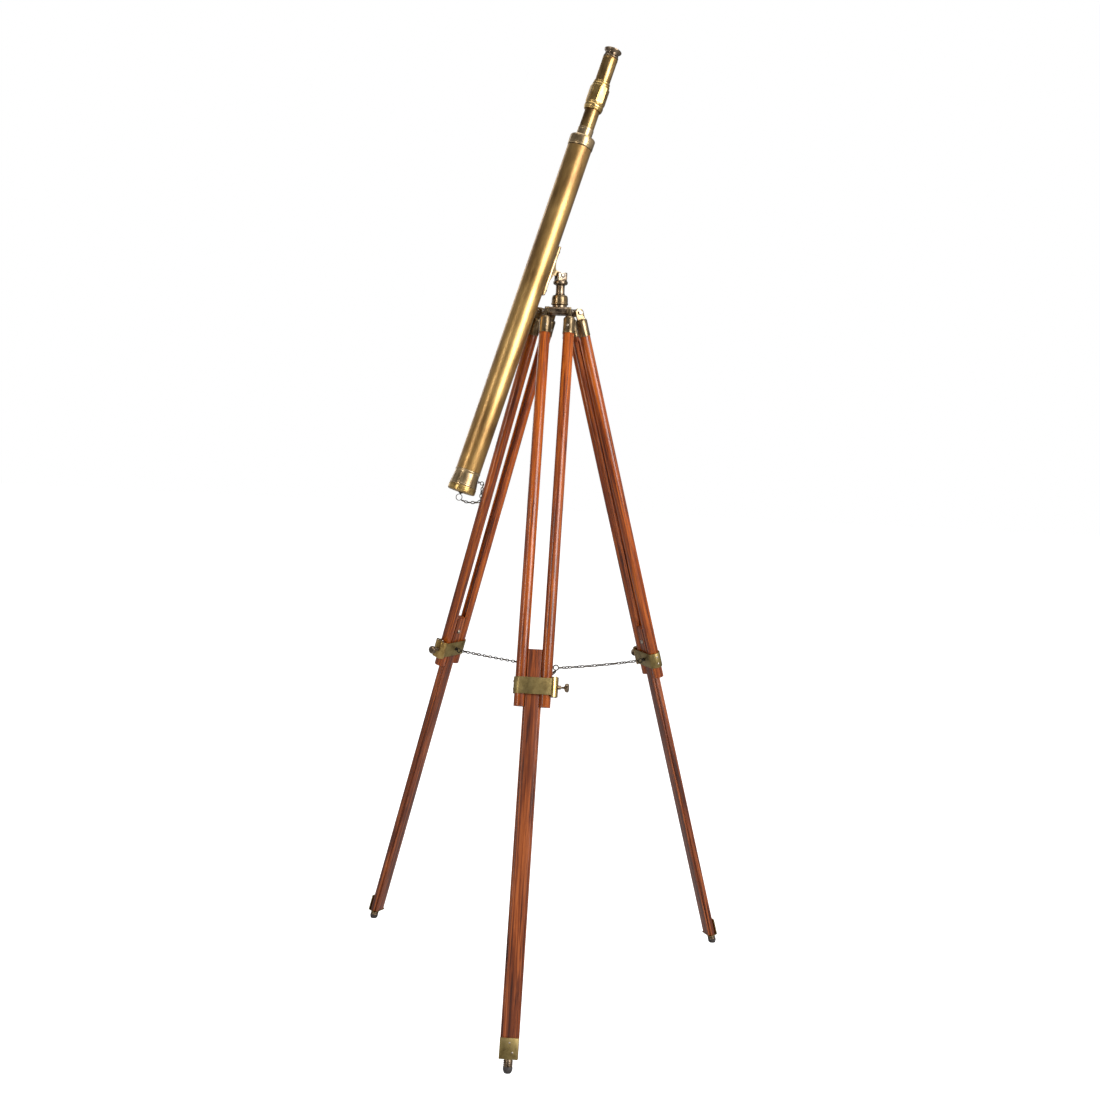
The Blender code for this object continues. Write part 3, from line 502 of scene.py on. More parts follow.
def joined(*meshes):
    bm = bmesh.new()
    for mesh in meshes:
        bm.from_mesh(mesh)
    made = bpy.data.meshes.new("joined")
    bm.to_mesh(made)
    bm.free()
    return made


def mirrored(mesh):
    made = mesh.copy()
    made.transform(Matrix.Diagonal((-1, 1, 1, 1)))
    made.flip_normals()
    return made


def moved(mesh, matrix):
    made = mesh.copy()
    made.transform(matrix)
    return made


def arc(centre, radius, start, end, count):
    found = []
    for i in range(count):
        angle = math.radians(start + (end - start) * i / (count - 1))
        found.append(
            (centre[0] + radius * math.cos(angle), centre[1] + radius * math.sin(angle))
        )
    return found


def piece(name, mesh, finish, matrix, body, *nodes, sharp=32):
    mesh = mesh.copy()
    mesh.name = name
    mesh.shade_smooth()
    mesh.set_sharp_from_angle(angle=math.radians(sharp))
    mesh.materials.clear()
    mesh.materials.append(FINISH[finish])
    obj = bpy.data.objects.new(name, mesh)
    bpy.context.scene.collection.objects.link(obj)
    obj.matrix_world = matrix
    if body is not None:
        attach(obj, body)
    if nodes:
        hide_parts(*nodes)
    return obj


def dome(radius, height, steps=28):
    """A round screw or rivet head that stands on Z = 0."""
    points = [(0.0, height)]
    for i in range(1, 7):
        angle = math.radians(90 - 90 * i / 6)
        points.append((radius * math.cos(angle), height * math.sin(angle) ** 0.9 if i < 6 else 0.0))
    points += [(radius * 0.6, -0.0004), (0.0, -0.0004)]
    return turned(points, False, steps)


def slotted(radius, height, width=None, steps=32):
    width = width or radius * 0.24
    return cut(
        dome(radius, height, steps), box((radius * 3, width, height), (0, 0, height * 0.62 + height / 2))
    )


STAND = Matrix.Translation((AXIS_X, AXIS_Y, 0))
PAN = STAND @ Matrix.Rotation(TELESCOPE_AZIMUTH, 4, "Z")
_a = Vector((0, -math.sin(LEAN), -math.cos(LEAN)))
_n = Vector((0, -math.cos(LEAN), math.sin(LEAN)))
_y = (-_a).cross(_n)
TILT = PAN @ Matrix.Translation((0, 0, TILT_Z)) @ Matrix((_n, _y, -_a)).transposed().to_4x4()
TUBE = TILT @ Matrix.Translation((TUBE_OFFSET, 0, 0))


def leg_frame(azimuth):
    turn = Matrix.Rotation(math.radians(azimuth), 4, "Z")
    return (
        STAND
        @ turn
        @ Matrix.Translation((0, -HINGE_R, HINGE_Z))
        @ Matrix.Rotation(-SPLAY, 4, "X")
    )


# ---------------------------------------------------------------- head
def make_head():
    body = lathe(
        [
            (0.0, 1.4562),
            (HUB_R, 1.4562),
            (HUB_R, 1.4372),
            (0.0135, 1.4352),
            (0.0, 1.4352),
        ],
        ring=False,
        soft=0.0010,
    )
    adds, bores, flanges = [], [], []
    for _, azimuth in LEGS:
        turn = Matrix.Rotation(math.radians(azimuth), 4, "Z")
        arm = bevelled(box((0.0140, HINGE_R - 0.002, 0.0130), (0, -(HINGE_R - 0.002) / 2, HINGE_Z)), 0.0012)
        barrel = rod(BARREL_R - 0.0008, (-BARREL_HALF, -HINGE_R, HINGE_Z), (BARREL_HALF, -HINGE_R, HINGE_Z), 40)
        bore = rod(BORE_R, (-0.04, -HINGE_R, HINGE_Z), (0.04, -HINGE_R, HINGE_Z), 24)
        for side in (-1, 1):
            ring = lathe(
                [
                    (0.0070, 0.0),
                    (BARREL_R, 0.0),
                    (BARREL_R, -0.0034),
                    (0.0070, -0.0034),
                ],
                steps=40,
                soft=0.0006,
            )
            ring.transform(
                turn
                @ Matrix.Translation((side * BARREL_HALF, -HINGE_R, HINGE_Z))
                @ Matrix.Rotation(side * math.pi / 2, 4, "Y")
            )
            flanges.append(ring)
        for mesh in (arm, barrel, bore):
            mesh.transform(turn)
        adds += [arm, barrel]
        bores.append(bore)
    hub = cut(union(body, *adds), *bores)
    piece("hub_casting", bevelled(hub, 0.0005, 2, 50), "bronze", STAND, "head", "hub")
    piece("hub_flanges", joined(*flanges), "ferrule", STAND, "head")
    bell = lathe(
        [
            (0.0063, BELL_TOP),
            (0.0118, BELL_TOP),
            (0.0148, BELL_TOP - 0.0010),
            (0.0163, BELL_TOP - 0.0035),
            (BELL_R - 0.0002, BELL_TOP - 0.0075),
            (BELL_R, BELL_TOP - 0.0150),
            (BELL_R, BELL_TOP - 0.0166),
            (BELL_R + 0.0008, BELL_TOP - 0.0172),
            (BELL_R + 0.0008, 1.4575),
            (BELL_R - 0.0007, 1.4565),
            (0.0063, 1.4565),
        ],
        soft=0.0010,
    )
    piece("bell", bell, "ferrule", STAND, "head", "hub")


def make_post():
    post = lathe(
        [
            (0.0, 1.5076),
            (0.0105, 1.5076),
            (0.0135, 1.5070),
            (0.0151, 1.5054),
            (0.0155, 1.5030),
            (0.0151, 1.5008),
            (0.0135, 1.4990),
            (0.0100, 1.4978),
            (0.0093, 1.4960),
            (0.0093, 1.4812),
            (0.0103, 1.4800),
            (0.0103, 1.4782),
            (0.0060, 1.4782),
            (0.0060, 1.4572),
            (0.0, 1.4572),
        ],
        ring=False,
        soft=0.0006,
    )
    fork = bevelled(
        box((2 * FORK_HALF, 2 * FORK_R, EAR_TOP - 1.5060), (0, 0, (EAR_TOP + 1.5060) / 2)), 0.0018, 3
    )
    floor = TILT_Z - LUG_R - 0.0006
    fork = cut(
        fork,
        box((2 * SLOT_HALF, 0.04, 0.04), (0, 0, floor + 0.02)),
        rod(BORE_R, (-0.02, 0, TILT_Z), (0.02, 0, TILT_Z), 24),
    )
    fork = bevelled(fork, 0.0007, 2, 50)
    piece("post", post, "bronze", PAN, "pan", "pan_post")
    piece("post_fork", fork, "bronze", PAN, "pan")
    face = FORK_HALF + 0.0003
    washer = lathe([(0.0032, 0.0007), (0.0068, 0.0007), (0.0068, 0.0), (0.0032, 0.0)], steps=40, soft=0.0002)
    washer.transform(Matrix.Translation((FORK_HALF + 0.0001, 0, TILT_Z)) @ Matrix.Rotation(math.pi / 2, 4, "Y"))
    head = slotted(0.0056, 0.0025, 0.0012, 40)
    head.transform(
        Matrix.Translation((face + 0.0006, 0, TILT_Z))
        @ Matrix.Rotation(math.pi / 2, 4, "Y")
        @ Matrix.Rotation(math.radians(35), 4, "Z")
    )
    shank = rod(BOLT_R, (-FORK_HALF - 0.0055, 0, TILT_Z), (face, 0, TILT_Z), 32)
    nut = bevelled(hexagon(0.0100, (-face - 0.0040, 0, TILT_Z), (-face, 0, TILT_Z)), 0.0005)
    piece("tilt_screw_head", joined(washer, head, shank, nut), "steel", PAN, "pan", "tilt_screw")


# ---------------------------------------------------------------- telescope
def make_cradle():
    bar_top = TUBE_OFFSET - TUBE_R - 0.0005
    bar_low = bar_top - BAR_THICK
    side = arc((0, 0), LUG_R, 50, 310, 40)
    neck = LUG_R * math.sin(math.radians(50))
    flare = [
        (bar_low - (bar_low - 0.0135) * (1 - i / 12.0), -neck - 0.019 * (i / 12.0) ** 2.2)
        for i in range(13)
    ]
    fin = outline(
        side
        + flare
        + [(bar_low + 0.002, flare[-1][1]), (bar_low + 0.002, -flare[-1][1])]
        + [(px, -py) for px, py in reversed(flare)],
        2 * LUG_HALF,
        Matrix.Rotation(math.radians(90), 4, "X"),
    )
    bar = box((BAR_THICK, 2 * BAR_WIDE, 2 * BAR_HALF), ((bar_top + bar_low) / 2, 0, 0))
    hollow = rod(TUBE_R + 0.0003, (TUBE_OFFSET, 0, -0.1), (TUBE_OFFSET, 0, 0.1), 96)
    bar = bevelled(bar, 0.0014, 3)
    cradle = cut(union(fin, bar), rod(BORE_R, (0, -0.02, 0), (0, 0.02, 0), 24), hollow)
    piece("cradle_bracket", bevelled(cradle, 0.0004, 2, 50), "pale_brass", TILT, "telescope", "cradle")
    for name, place in (("upper", 0.043), ("lower", -0.043)):
        head = slotted(0.0041, 0.0024)
        head.transform(
            Matrix.Translation((bar_low - 0.0002, 0, place))
            @ Matrix.Rotation(-math.pi / 2, 4, "Y")
            @ Matrix.Rotation(0.6 + place * 20, 4, "Z")
        )
        piece("cradle_screw_head_" + name, head, "steel", TILT, "telescope", "cradle_screw_" + name)


def rings(values):
    """Profile points from (s, radius) pairs: s runs towards the objective, so z runs down."""
    return [(r, -s) for s, r in values]


def make_tube():
    inner = TUBE_R - TUBE_WALL
    piece(
        "telescope_tube",
        lathe(
            rings([(TUBE_A, TUBE_R), (TUBE_B, TUBE_R), (TUBE_B, inner), (TUBE_A, inner)]),
            steps=128,
            soft=0.0003,
        ),
        "brass_tube",
        TUBE,
        "telescope",
        "main_tube",
    )
    collar = rings(
        [
            (COLLAR_A, 0.0238),
            (COLLAR_A + 0.0006, 0.0260),
            (COLLAR_A + 0.0022, 0.0271),
            (COLLAR_A + 0.0034, 0.0271),
            (COLLAR_A + 0.0038, 0.0268),
            (COLLAR_A + 0.0042, 0.0271),
            (TUBE_A - 0.0052, 0.0271),
            (TUBE_A - 0.0048, 0.0267),
            (TUBE_A - 0.0044, 0.0271),
            (TUBE_A - 0.0022, 0.0271),
            (TUBE_A - 0.0004, 0.0264),
            (TUBE_A - 0.0004, BUSH_R + 0.0003),
            (COLLAR_A, BUSH_R + 0.0003),
        ]
    )
    piece("tube_rear_collar", lathe(collar, steps=128, soft=0.0004), "pale_brass", TUBE, "telescope", "rear_collar")
    # Painted shade: a thin near-black ring laid in the gap where the collar meets the tube. It stands in for the shade
    # in that crevice.
    seam = rings(
        [
            (TUBE_A - 0.0006, 0.0255),
            (TUBE_A - 0.0006, 0.02625),
            (TUBE_A + 0.0008, 0.02625),
            (TUBE_A + 0.0008, 0.0255),
        ]
    )
    piece("collar_gap_shade", lathe(seam, steps=128, soft=0.0001), "shadow", TUBE, "telescope")
    bush = rings(
        [
            (BUSH_A, BUSH_R - 0.0008),
            (BUSH_A + 0.0006, BUSH_R),
            (BUSH_A + 0.0042, BUSH_R),
            (BUSH_A + 0.0046, BUSH_R - 0.0003),
            (BUSH_A + 0.0050, BUSH_R),
            (BUSH_A + 0.0165, BUSH_R),
            (BUSH_B, BUSH_R),
            (BUSH_B, DRAW_R + 0.0002),
            (BUSH_A, DRAW_R + 0.0002),
        ]
    )
    piece("tube_draw_bush", lathe(bush, steps=96, soft=0.0003), "pale_brass", TUBE, "telescope", "draw_bush")
    # Painted shade: a thin near-black ring where the draw bush enters the collar. It stands in for the shade in that
    # gap.
    dark = rings(
        [
            (COLLAR_A - 0.0012, BUSH_R + 0.0001),
            (COLLAR_A - 0.0012, BUSH_R + 0.0008),
            (COLLAR_A + 0.0004, BUSH_R + 0.0024),
            (COLLAR_A + 0.0004, BUSH_R + 0.0001),
        ]
    )
    piece("bush_gap_shade", lathe(dark, steps=96, soft=0.0001), "shadow", TUBE, "telescope")
    shade = rings(
        [
            (0.4400, inner - 0.0003),
            (TUBE_B + 0.0003, inner - 0.0003),
            (TUBE_B + 0.0003, 0.0262),
            (TUBE_B + 0.0010, 0.0267),
            (TUBE_B + 0.0032, 0.0267),
            (TUBE_B + 0.0040, 0.0260),
            (0.4600, 0.0258),
            (0.4660, 0.0262),
            (0.4725, 0.0268),
            (0.4780, 0.0275),
            (0.4826, 0.0283),
            (0.4832, 0.0280),
            (0.4838, 0.0284),
            (0.4852, 0.0287),
            (0.4870, 0.0287),
            (0.4876, 0.0279),
            (SHADE_B, 0.0278),
            (SHADE_B, 0.0238),
            (0.4595, 0.0238),
            (0.4595, 0.0215),
            (0.4400, 0.0215),
        ]
    )
    piece("objective_shade", lathe(shade, steps=128, soft=0.0005), "pale_brass", TUBE, "telescope", "objective_sleeve")
    lens = rings(
        [
            (0.4598, 0.0),
            (0.4600, 0.0080),
            (0.4608, 0.0165),
            (0.4620, 0.0234),
            (0.4660, 0.0234),
            (0.4682, 0.0165),
            (0.4696, 0.0080),
            (0.4700, 0.0),
        ]
    )
    piece("objective_glass", turned(lens, False, 96), "glass", TUBE, "telescope", "objective_lens")
    turn = Matrix.Rotation(math.radians(155.0), 4, "Z")
    post = lathe(
        [
            (0.0, 0.0325),
            (0.0014, 0.0325),
            (0.0014, 0.0293),
            (0.0030, 0.0289),
            (0.0030, 0.0274),
            (0.0, 0.0274),
        ],
        ring=False,
        steps=28,
        soft=0.0003,
    )
    ring = torus(0.0034, 0.0009, Matrix.Translation((0, 0, 0.0355)) @ Matrix.Rotation(math.pi / 2, 4, "X"), 32, 10)
    eye = joined(post, ring)
    eye.transform(turn @ Matrix.Translation((0, 0, -0.4700)) @ Matrix.Rotation(math.pi / 2, 4, "Y"))
    piece("shade_screw_eye", eye, "chain", TUBE, "telescope", "sleeve_eye")
    draw = rings(
        [
            (DRAW_A, DRAW_R),
            (GUIDE_A, DRAW_R),
            (GUIDE_A, inner - 0.0004),
            (DRAW_B, inner - 0.0004),
            (DRAW_B, DRAW_R - DRAW_WALL),
            (DRAW_A, DRAW_R - DRAW_WALL),
        ]
    )
    piece("focus_draw_tube", lathe(draw, steps=96, soft=0.0002), "draw_brass", TUBE, "draw", "draw_tube")


def make_focus():
    low = lathe(
        [
            (0.0190, 0.3618),
            (0.0196, 0.3612),
            (0.0201, 0.3598),
            (0.0201, 0.3588),
            (0.0196, 0.3578),
            (0.0191, 0.3572),
            (0.0197, 0.3562),
            (0.0203, 0.3546),
            (0.0204, 0.3530),
            (0.0203, 0.3514),
            (0.0197, 0.3500),
            (0.0193, 0.3494),
            (0.0196, 0.3488),
            (0.0196, 0.3474),
            (0.0186, 0.3464),
            (0.0184, 0.3453),
            (SLEEVE_BORE + 0.0001, 0.3453),
            (SLEEVE_BORE + 0.0001, 0.3618),
        ],
        steps=96,
        soft=0.0006,
    )
    high = lathe(
        [
            (0.0168, 0.4084),
            (0.0176, 0.4078),
            (0.0178, 0.4064),
            (0.0176, 0.4050),
            (0.0169, 0.4044),
            (0.0169, 0.4036),
            (0.0181, 0.4030),
            (0.0187, 0.4016),
            (0.0188, 0.4000),
            (0.0187, 0.3984),
            (0.0184, 0.3974),
            (0.0190, 0.3968),
            (0.0190, 0.3958),
            (SLEEVE_BORE + 0.0001, 0.3955),
            (SLEEVE_BORE + 0.0001, 0.4084),
        ],
        steps=96,
        soft=0.0005,
    )
    grip = cut(
        rod(0.0209, (0, 0, 0.3608), (0, 0, 0.3962), 8, turn=math.radians(22.5)),
        rod(SLEEVE_BORE, (0, 0, 0.35), (0, 0, 0.41), 96),
    )
    ends = [
        lathe(
            [(0.0215, z + 0.006 * d), (0.0235, z + 0.006 * d), (0.0235, z - 0.002 * d), (0.0199, z - 0.0006 * d)][:: int(d)],
            steps=96,
            soft=0.0002,
        )
        for z, d in ((0.3962, 1.0), (0.3608, -1.0))
    ]
    grip = cut(grip, *ends)
    lines = []
    for k in range(8):
        angle = math.radians(45.0 * k)
        for side in (-1, 1):
            lines.append(
                moved(
                    box((0.0009, 0.0005, 0.0290), (0.0193 + 0.00012, side * 0.0058, 0.3785)),
                    Matrix.Rotation(angle, 4, "Z"),
                )
            )
    grip = cut(grip, joined(*lines))
    grip = bevelled(grip, 0.0003, 2, 34)
    piece("focus_grip", grip, "brass", TUBE, "draw", "focus_sleeve", sharp=24)
    piece("focus_rings", joined(low, high), "brass", TUBE, "draw")


def make_eyepiece():
    tube = lathe(
        rings(
            [
                (EYEPIECE_A, EYEPIECE_R - 0.0006),
                (EYEPIECE_A + 0.0006, EYEPIECE_R),
                (EYEPIECE_A + 0.0022, EYEPIECE_R + 0.0004),
                (EYEPIECE_A + 0.0038, EYEPIECE_R + 0.0004),
                (EYEPIECE_A + 0.0044, EYEPIECE_R),
                (EYEPIECE_B, EYEPIECE_R),
                (EYEPIECE_B, EYEPIECE_R - 0.0011),
                (EYEPIECE_A, EYEPIECE_R - 0.0011),
            ]
        ),
        steps=96,
        soft=0.0003,
    )
    piece("eyepiece_barrel", tube, "draw_brass", TUBE, "eyepiece", "eyepiece_tube")
    top = -CUP_A
    cup = lathe(
        [
            (0.0172, top),
            (0.0183, top - 0.0002),
            (0.0188, top - 0.0010),
            (0.0186, top - 0.0024),
            (0.0172, top - 0.0040),
            (0.0153, top - 0.0054),
            (0.0138, top - 0.0068),
            (0.0132, top - 0.0082),
            (0.0134, top - 0.0092),
            (0.0145, top - 0.0098),
            (0.0149, top - 0.0106),
            (0.0145, top - 0.0114),
            (0.0134, top - 0.0120),
            (0.0136, top - 0.0128),
            (0.0152, top - 0.0134),
            (0.0160, top - 0.0146),
            (0.0162, top - 0.0158),
            (0.0160, 0.4640),
            (EYEPIECE_R - 0.0014, 0.4637),
            (EYEPIECE_R - 0.0014, -CUP_B),
            (0.0129, -CUP_B),
            (0.0129, 0.4625),
            (0.0065, 0.4625),
            (0.0065, top - 0.0088),
            (0.0085, top - 0.0074),
            (0.0125, top - 0.0042),
            (0.0160, top - 0.0010),
        ],
        steps=96,
        soft=0.0005,
    )
    piece("eyepiece_cup", cup, "bronze", TUBE, "eyepiece", "eye_cup")
    lens = [
        (0.0, 0.4622),
        (0.0070, 0.4617),
        (0.0126, 0.4600),
        (0.0126, 0.4578),
        (0.0070, 0.4572),
        (0.0, 0.4570),
    ]
    piece("eyepiece_glass", turned(lens, False, 72), "glass", TUBE, "eyepiece", "eye_lens")


EYE_Z = -(CAP_B + 0.0003)


def make_cap():
    cap = rings(
        [
            (CAP_A, 0.0286),
            (CAP_A + 0.0004, 0.0290),
            (CAP_A + 0.0018, 0.0292),
            (CAP_A + 0.0030, 0.0292),
            (CAP_A + 0.0034, 0.0289),
            (CAP_A + 0.0038, 0.0292),
            (CAP_B - 0.0042, 0.0292),
            (CAP_B - 0.0038, 0.0289),
            (CAP_B - 0.0034, 0.0292),
            (CAP_B - 0.0022, 0.0291),
            (CAP_B - 0.0006, 0.0280),
            (CAP_B, 0.0262),
            (CAP_B, 0.0215),
            (CAP_B - 0.0006, 0.0208),
            (CAP_B - 0.0008, 0.0070),
            (CAP_B, 0.0062),
            (CAP_B, 0.0),
            (CAP_B - 0.0018, 0.0),
            (CAP_B - 0.0026, 0.0281),
            (CAP_A, 0.0281),
        ]
    )
    piece("lens_cover", lathe(cap, steps=128, soft=0.0004), "brass", TUBE, "cap", "lens_cap")
    base = lathe(
        [
            (0.0, EYE_Z),
            (0.0050, EYE_Z),
            (0.0046, EYE_Z - 0.0016),
            (0.0022, EYE_Z - 0.0026),
            (0.0016, EYE_Z - 0.0050),
            (0.0, EYE_Z - 0.0050),
        ],
        ring=False,
        steps=40,
        soft=0.0003,
    )
    place = Matrix.Translation((0, 0, EYE_Z - 0.0110)) @ Matrix.Rotation(math.pi / 2, 4, "X")
    first = torus(0.0066, 0.00062, Matrix.Translation((0, 0.0006, 0)) @ place, 48, 10)
    second = torus(0.0066, 0.00062, Matrix.Translation((0, -0.0006, 0)) @ place, 48, 10)
    piece("cover_split_ring", joined(base, first, second), "chain", TUBE, "cap", "cap_ring")


# ---------------------------------------------------------------- chains
def link_mesh(length, width, gauge):
    """One chain link, its long side along X."""
    half, bend = length / 2 - width / 2, width / 2 - gauge
    points = [(half + px, py, 0.0) for px, py in arc((0, 0), bend, -90, 90, 7)]
    points += [(-half + px, py, 0.0) for px, py in arc((0, 0), bend, 90, 270, 7)]
    return wire(points, gauge, True, 2)


def chain_mesh(path, length, width, gauge, twist):
    """Links along a path of points, each turned a quarter against the last. twist swings them all."""
    spots, total = [0.0], 0.0
    for first, second in zip(path, path[1:]):
        total += (second - first).length
        spots.append(total)

    def along(distance):
        distance = min(max(distance, 0.0), total)
        for i in range(len(spots) - 1):
            if distance <= spots[i + 1]:
                t = (distance - spots[i]) / (spots[i + 1] - spots[i])
                return path[i].lerp(path[i + 1], t)
        return path[-1]

    pitch = length - 2 * gauge * 1.15
    count = max(2, round((total - pitch * 0.2) / pitch))
    pitch = total / count
    link = link_mesh(length, width, gauge)
    found = []
    for i in range(count):
        a, b = along(i * pitch), along((i + 1) * pitch)
        middle, x_axis = (a + b) / 2, (b - a).normalized()
        side = x_axis.cross(Vector((0, 0, 1)))
        if side.length < 1e-4:
            side = Vector((1, 0, 0))
        side.normalize()
        turn = (i % 2) * math.pi / 2 + twist + 0.35 * math.sin(i * 1.7)
        y_axis = (
            Matrix.Rotation(turn, 3, x_axis) @ side
        ).normalized()
        z_axis = x_axis.cross(y_axis)
        place = Matrix((x_axis, y_axis, z_axis)).transposed().to_4x4()
        place.translation = middle
        found.append(moved(link, place))
    return joined(*found)


def chain_ends(azimuth):
    wall_out = ROD_R + BAND_CLEAR + BAND_WALL
    local = STAND.inverted() @ leg_frame(azimuth)
    eye = local @ Vector((0, wall_out + EYE_REACH, -BAND_MID))
    centre = Vector((RING_SHIFT, 0, eye.z - 0.004))
    outward = Vector((eye.x - centre.x, eye.y - centre.y, 0)).normalized()
    start = eye - outward * (EYE_R + EYE_WIRE + 0.0006)
    side = Vector((0, 0, -1)) if azimuth == 0 else Vector((math.copysign(1, eye.x), 0, 0))
    end = centre + side * (RING_R + RING_WIRE + 0.0002)
    return start, end, centre, outward


def make_chains():
    for index, (name, azimuth) in enumerate(LEGS):
        start, end, centre, outward = chain_ends(azimuth)
        path = []
        for i in range(41):
            t = i / 40.0
            point = start.lerp(end, t)
            point.z -= 4 * CHAIN_SAG * t * (1 - t)
            path.append(point)
        mesh = chain_mesh(path, 0.0104, 0.0068, 0.00115, 0.5 + index)
        obj = piece("spreader_chain_" + name, mesh, "chain", STAND, None, "chain_" + name)
        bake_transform(obj)
    ring = torus(RING_R, 0.0013, Matrix.Translation(centre) @ Matrix.Rotation(math.pi / 2, 4, "X"), 40, 10)
    piece("spreader_ring", ring, "chain", STAND, "head", "chain_ring")

    to_stand = STAND.inverted() @ TUBE
    start = to_stand @ Vector((-0.0066, 0.0010, EYE_Z - 0.0152))
    turn = Matrix.Rotation(math.radians(155.0), 4, "Z")
    end = to_stand @ (turn @ Vector((0.0355 + 0.0042, 0, 0)) + Vector((0, 0, -0.4708)))
    across = Vector((end.x - start.x, end.y - start.y, 0))
    points = [start + across * u + Vector((0, 0, (end.z - start.z) * v)) for u, v in CAP_CHAIN_COURSE]
    path = []
    for i in range(len(points) - 1):
        a, b = points[max(i - 1, 0)], points[i]
        c, d = points[i + 1], points[min(i + 2, len(points) - 1)]
        for j in range(8):
            t = j / 8.0
            path.append(
                0.5 * (2 * b + (c - a) * t + (2 * a - 5 * b + 4 * c - d) * t * t + (3 * b - a - 3 * c + d) * t**3)
            )
    path.append(points[-1])
    mesh = chain_mesh(path, 0.0092, 0.0064, 0.00105, 0.2)
    obj = piece("cover_chain", mesh, "chain", STAND, None, "cap_chain")
    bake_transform(obj)


# ---------------------------------------------------------------- legs
def leg_meshes():
    found = []
    ferrule = lathe(
        [
            (0.0, -FERRULE_TOP),
            (0.0060, -FERRULE_TOP),
            (FERRULE_R - 0.0019, -(FERRULE_TOP + 0.0012)),
            (FERRULE_R - 0.0004, -(FERRULE_TOP + 0.0040)),
            (FERRULE_R - 0.0003, -(FERRULE_END - 0.0050)),
            (FERRULE_R - 0.0001, -(FERRULE_END - 0.0042)),
            (FERRULE_R - 0.0001, -FERRULE_END),
            (ROD_R + 0.0004, -FERRULE_END),
            (ROD_R + 0.0004, -(ROD_TOP - 0.0003)),
            (0.0, -(ROD_TOP - 0.0003)),
        ],
        steps=64,
        soft=0.0006,
    )
    tang_in = BARREL_HALF + 0.0003
    tang_out = tang_in + 0.0050
    tang = outline(
        arc((0, 0), 0.0086, 180, 0, 33) + [(0.0086, -0.0160), (-0.0086, -0.0160)],
        tang_out - tang_in,
        Matrix(((0, 0, 1, 0), (1, 0, 0, 0), (0, 1, 0, 0), (0, 0, 0, 1))),
    )
    tang = bevelled(tang, 0.0006, 2, 50)
    tang.transform(Matrix.Translation(((tang_in + tang_out) / 2 - ROD_HALF, 0, 0)))
    fitting = union(ferrule, tang)
    fitting.transform(Matrix.Translation((ROD_HALF, 0, 0)))
    fitting = cut(fitting, rod(BORE_R, (0.01, 0, 0), (0.04, 0, 0), 24))
    found.append(("leg_ferrule_b", fitting, "ferrule", "leg_", ("ferrule_b",)))
    found.append(("leg_ferrule_a", mirrored(fitting), "ferrule", "leg_", ("ferrule_a",)))
    pins = []
    for x in (-ROD_HALF, ROD_HALF):
        for side in (1, -1):
            pin = dome(0.0025, 0.0013)
            pin.transform(
                Matrix.Translation((x - math.copysign(0.0022, x), side * (FERRULE_R - 0.0004), -0.0345))
                @ Matrix.Rotation(-side * math.pi / 2, 4, "X")
            )
            pins.append(pin)
    found.append(("ferrule_pins", joined(*pins), "steel", "leg_", ()))
    face = tang_out + 0.0003
    shank = rod(BOLT_R, (-face - 0.0058, 0, 0), (face + 0.002, 0, 0), 32)
    head = bevelled(hexagon(0.0090, (face, 0, 0), (face + 0.0042, 0, 0)), 0.0005)
    nut = bevelled(hexagon(0.0090, (-face - 0.0042, 0, 0), (-face, 0, 0)), 0.0005)
    found.append(("hinge_bolt_and_nut", joined(shank, head, nut), "steel", "leg_", ("hinge_bolt",)))

    bar = rod(ROD_R, (ROD_HALF, 0, -ROD_TOP), (ROD_HALF, 0, -ROD_END), 56)
    groove = box(
        (0.020, GROOVE_THICK, ROD_END - GROOVE_TOP + 0.02),
        (GROOVE_HALF - 0.010, 0, -(ROD_END + GROOVE_TOP + 0.02) / 2),
    )
    bar = bevelled(cut(bar, groove), 0.0005, 2, 50)
    found.append(("leg_rod_b", bar, "rod_wood", "leg_", ("rod_b",)))
    found.append(("leg_rod_a", mirrored(bar), "rod_wood", "leg_", ("rod_a",)))

    wall_in = ROD_R + BAND_CLEAR
    wall_out = wall_in + BAND_WALL
    mouth = BLOCK_IN + 0.0010
    band = outline(
        [(mouth, wall_out)]
        + arc((-ROD_HALF, 0), wall_out, 90, 270, 37)
        + [(mouth, -wall_out), (mouth, -wall_in)]
        + arc((-ROD_HALF, 0), wall_in, 270, 90, 37)
        + [(mouth, wall_in)],
        BAND_END - BAND_TOP,
        Matrix.Translation((0, 0, -BAND_MID)),
    )
    found.append(("leg_band", bevelled(band, 0.0005, 2, 50), "band_brass", "leg_", ("band",)))
    half = wall_out + 0.0002
    block = outline(
        [(BLOCK_IN, half)]
        + [(BLOCK_IN, -half)]
        + arc((BLOCK_OUT - 0.0105, -half + 0.0105), 0.0105, 270, 360, 20)
        + arc((BLOCK_OUT - 0.0105, half - 0.0105), 0.0105, 0, 90, 20),
        BLOCK_END - BLOCK_TOP,
        Matrix.Translation((0, 0, -BAND_MID)),
    )
    block = bevelled(block, 0.0012, 3, 50)
    block = cut(block, rod(0.0027, (0.03, 0, -BAND_MID), (0.06, 0, -BAND_MID), 24))
    found.append(("leg_clamp_block", block, "brass", "leg_", ("band",)))
    rivets = []
    for t in (BAND_MID - 0.0075, BAND_MID + 0.0075):
        rivet = dome(0.0024, 0.0010)
        rivet.transform(
            Matrix.Translation((-ROD_HALF - wall_out, 0, -t)) @ Matrix.Rotation(-math.pi / 2, 4, "Y")
        )
        rivets.append(rivet)
    for t, up in ((BLOCK_TOP, 1), (BLOCK_END, -1)):
        for x, y in ((0.0455, -0.0075), (0.0455, 0.0075), (0.0385, 0.0)):
            screw = slotted(0.0020, 0.0016)
            screw.transform(
                Matrix.Translation((x, y, -t)) @ Matrix.Rotation(0 if up > 0 else math.pi, 4, "X")
            )
            rivets.append(screw)
    found.append(("band_rivets", joined(*rivets), "steel", "leg_", ()))

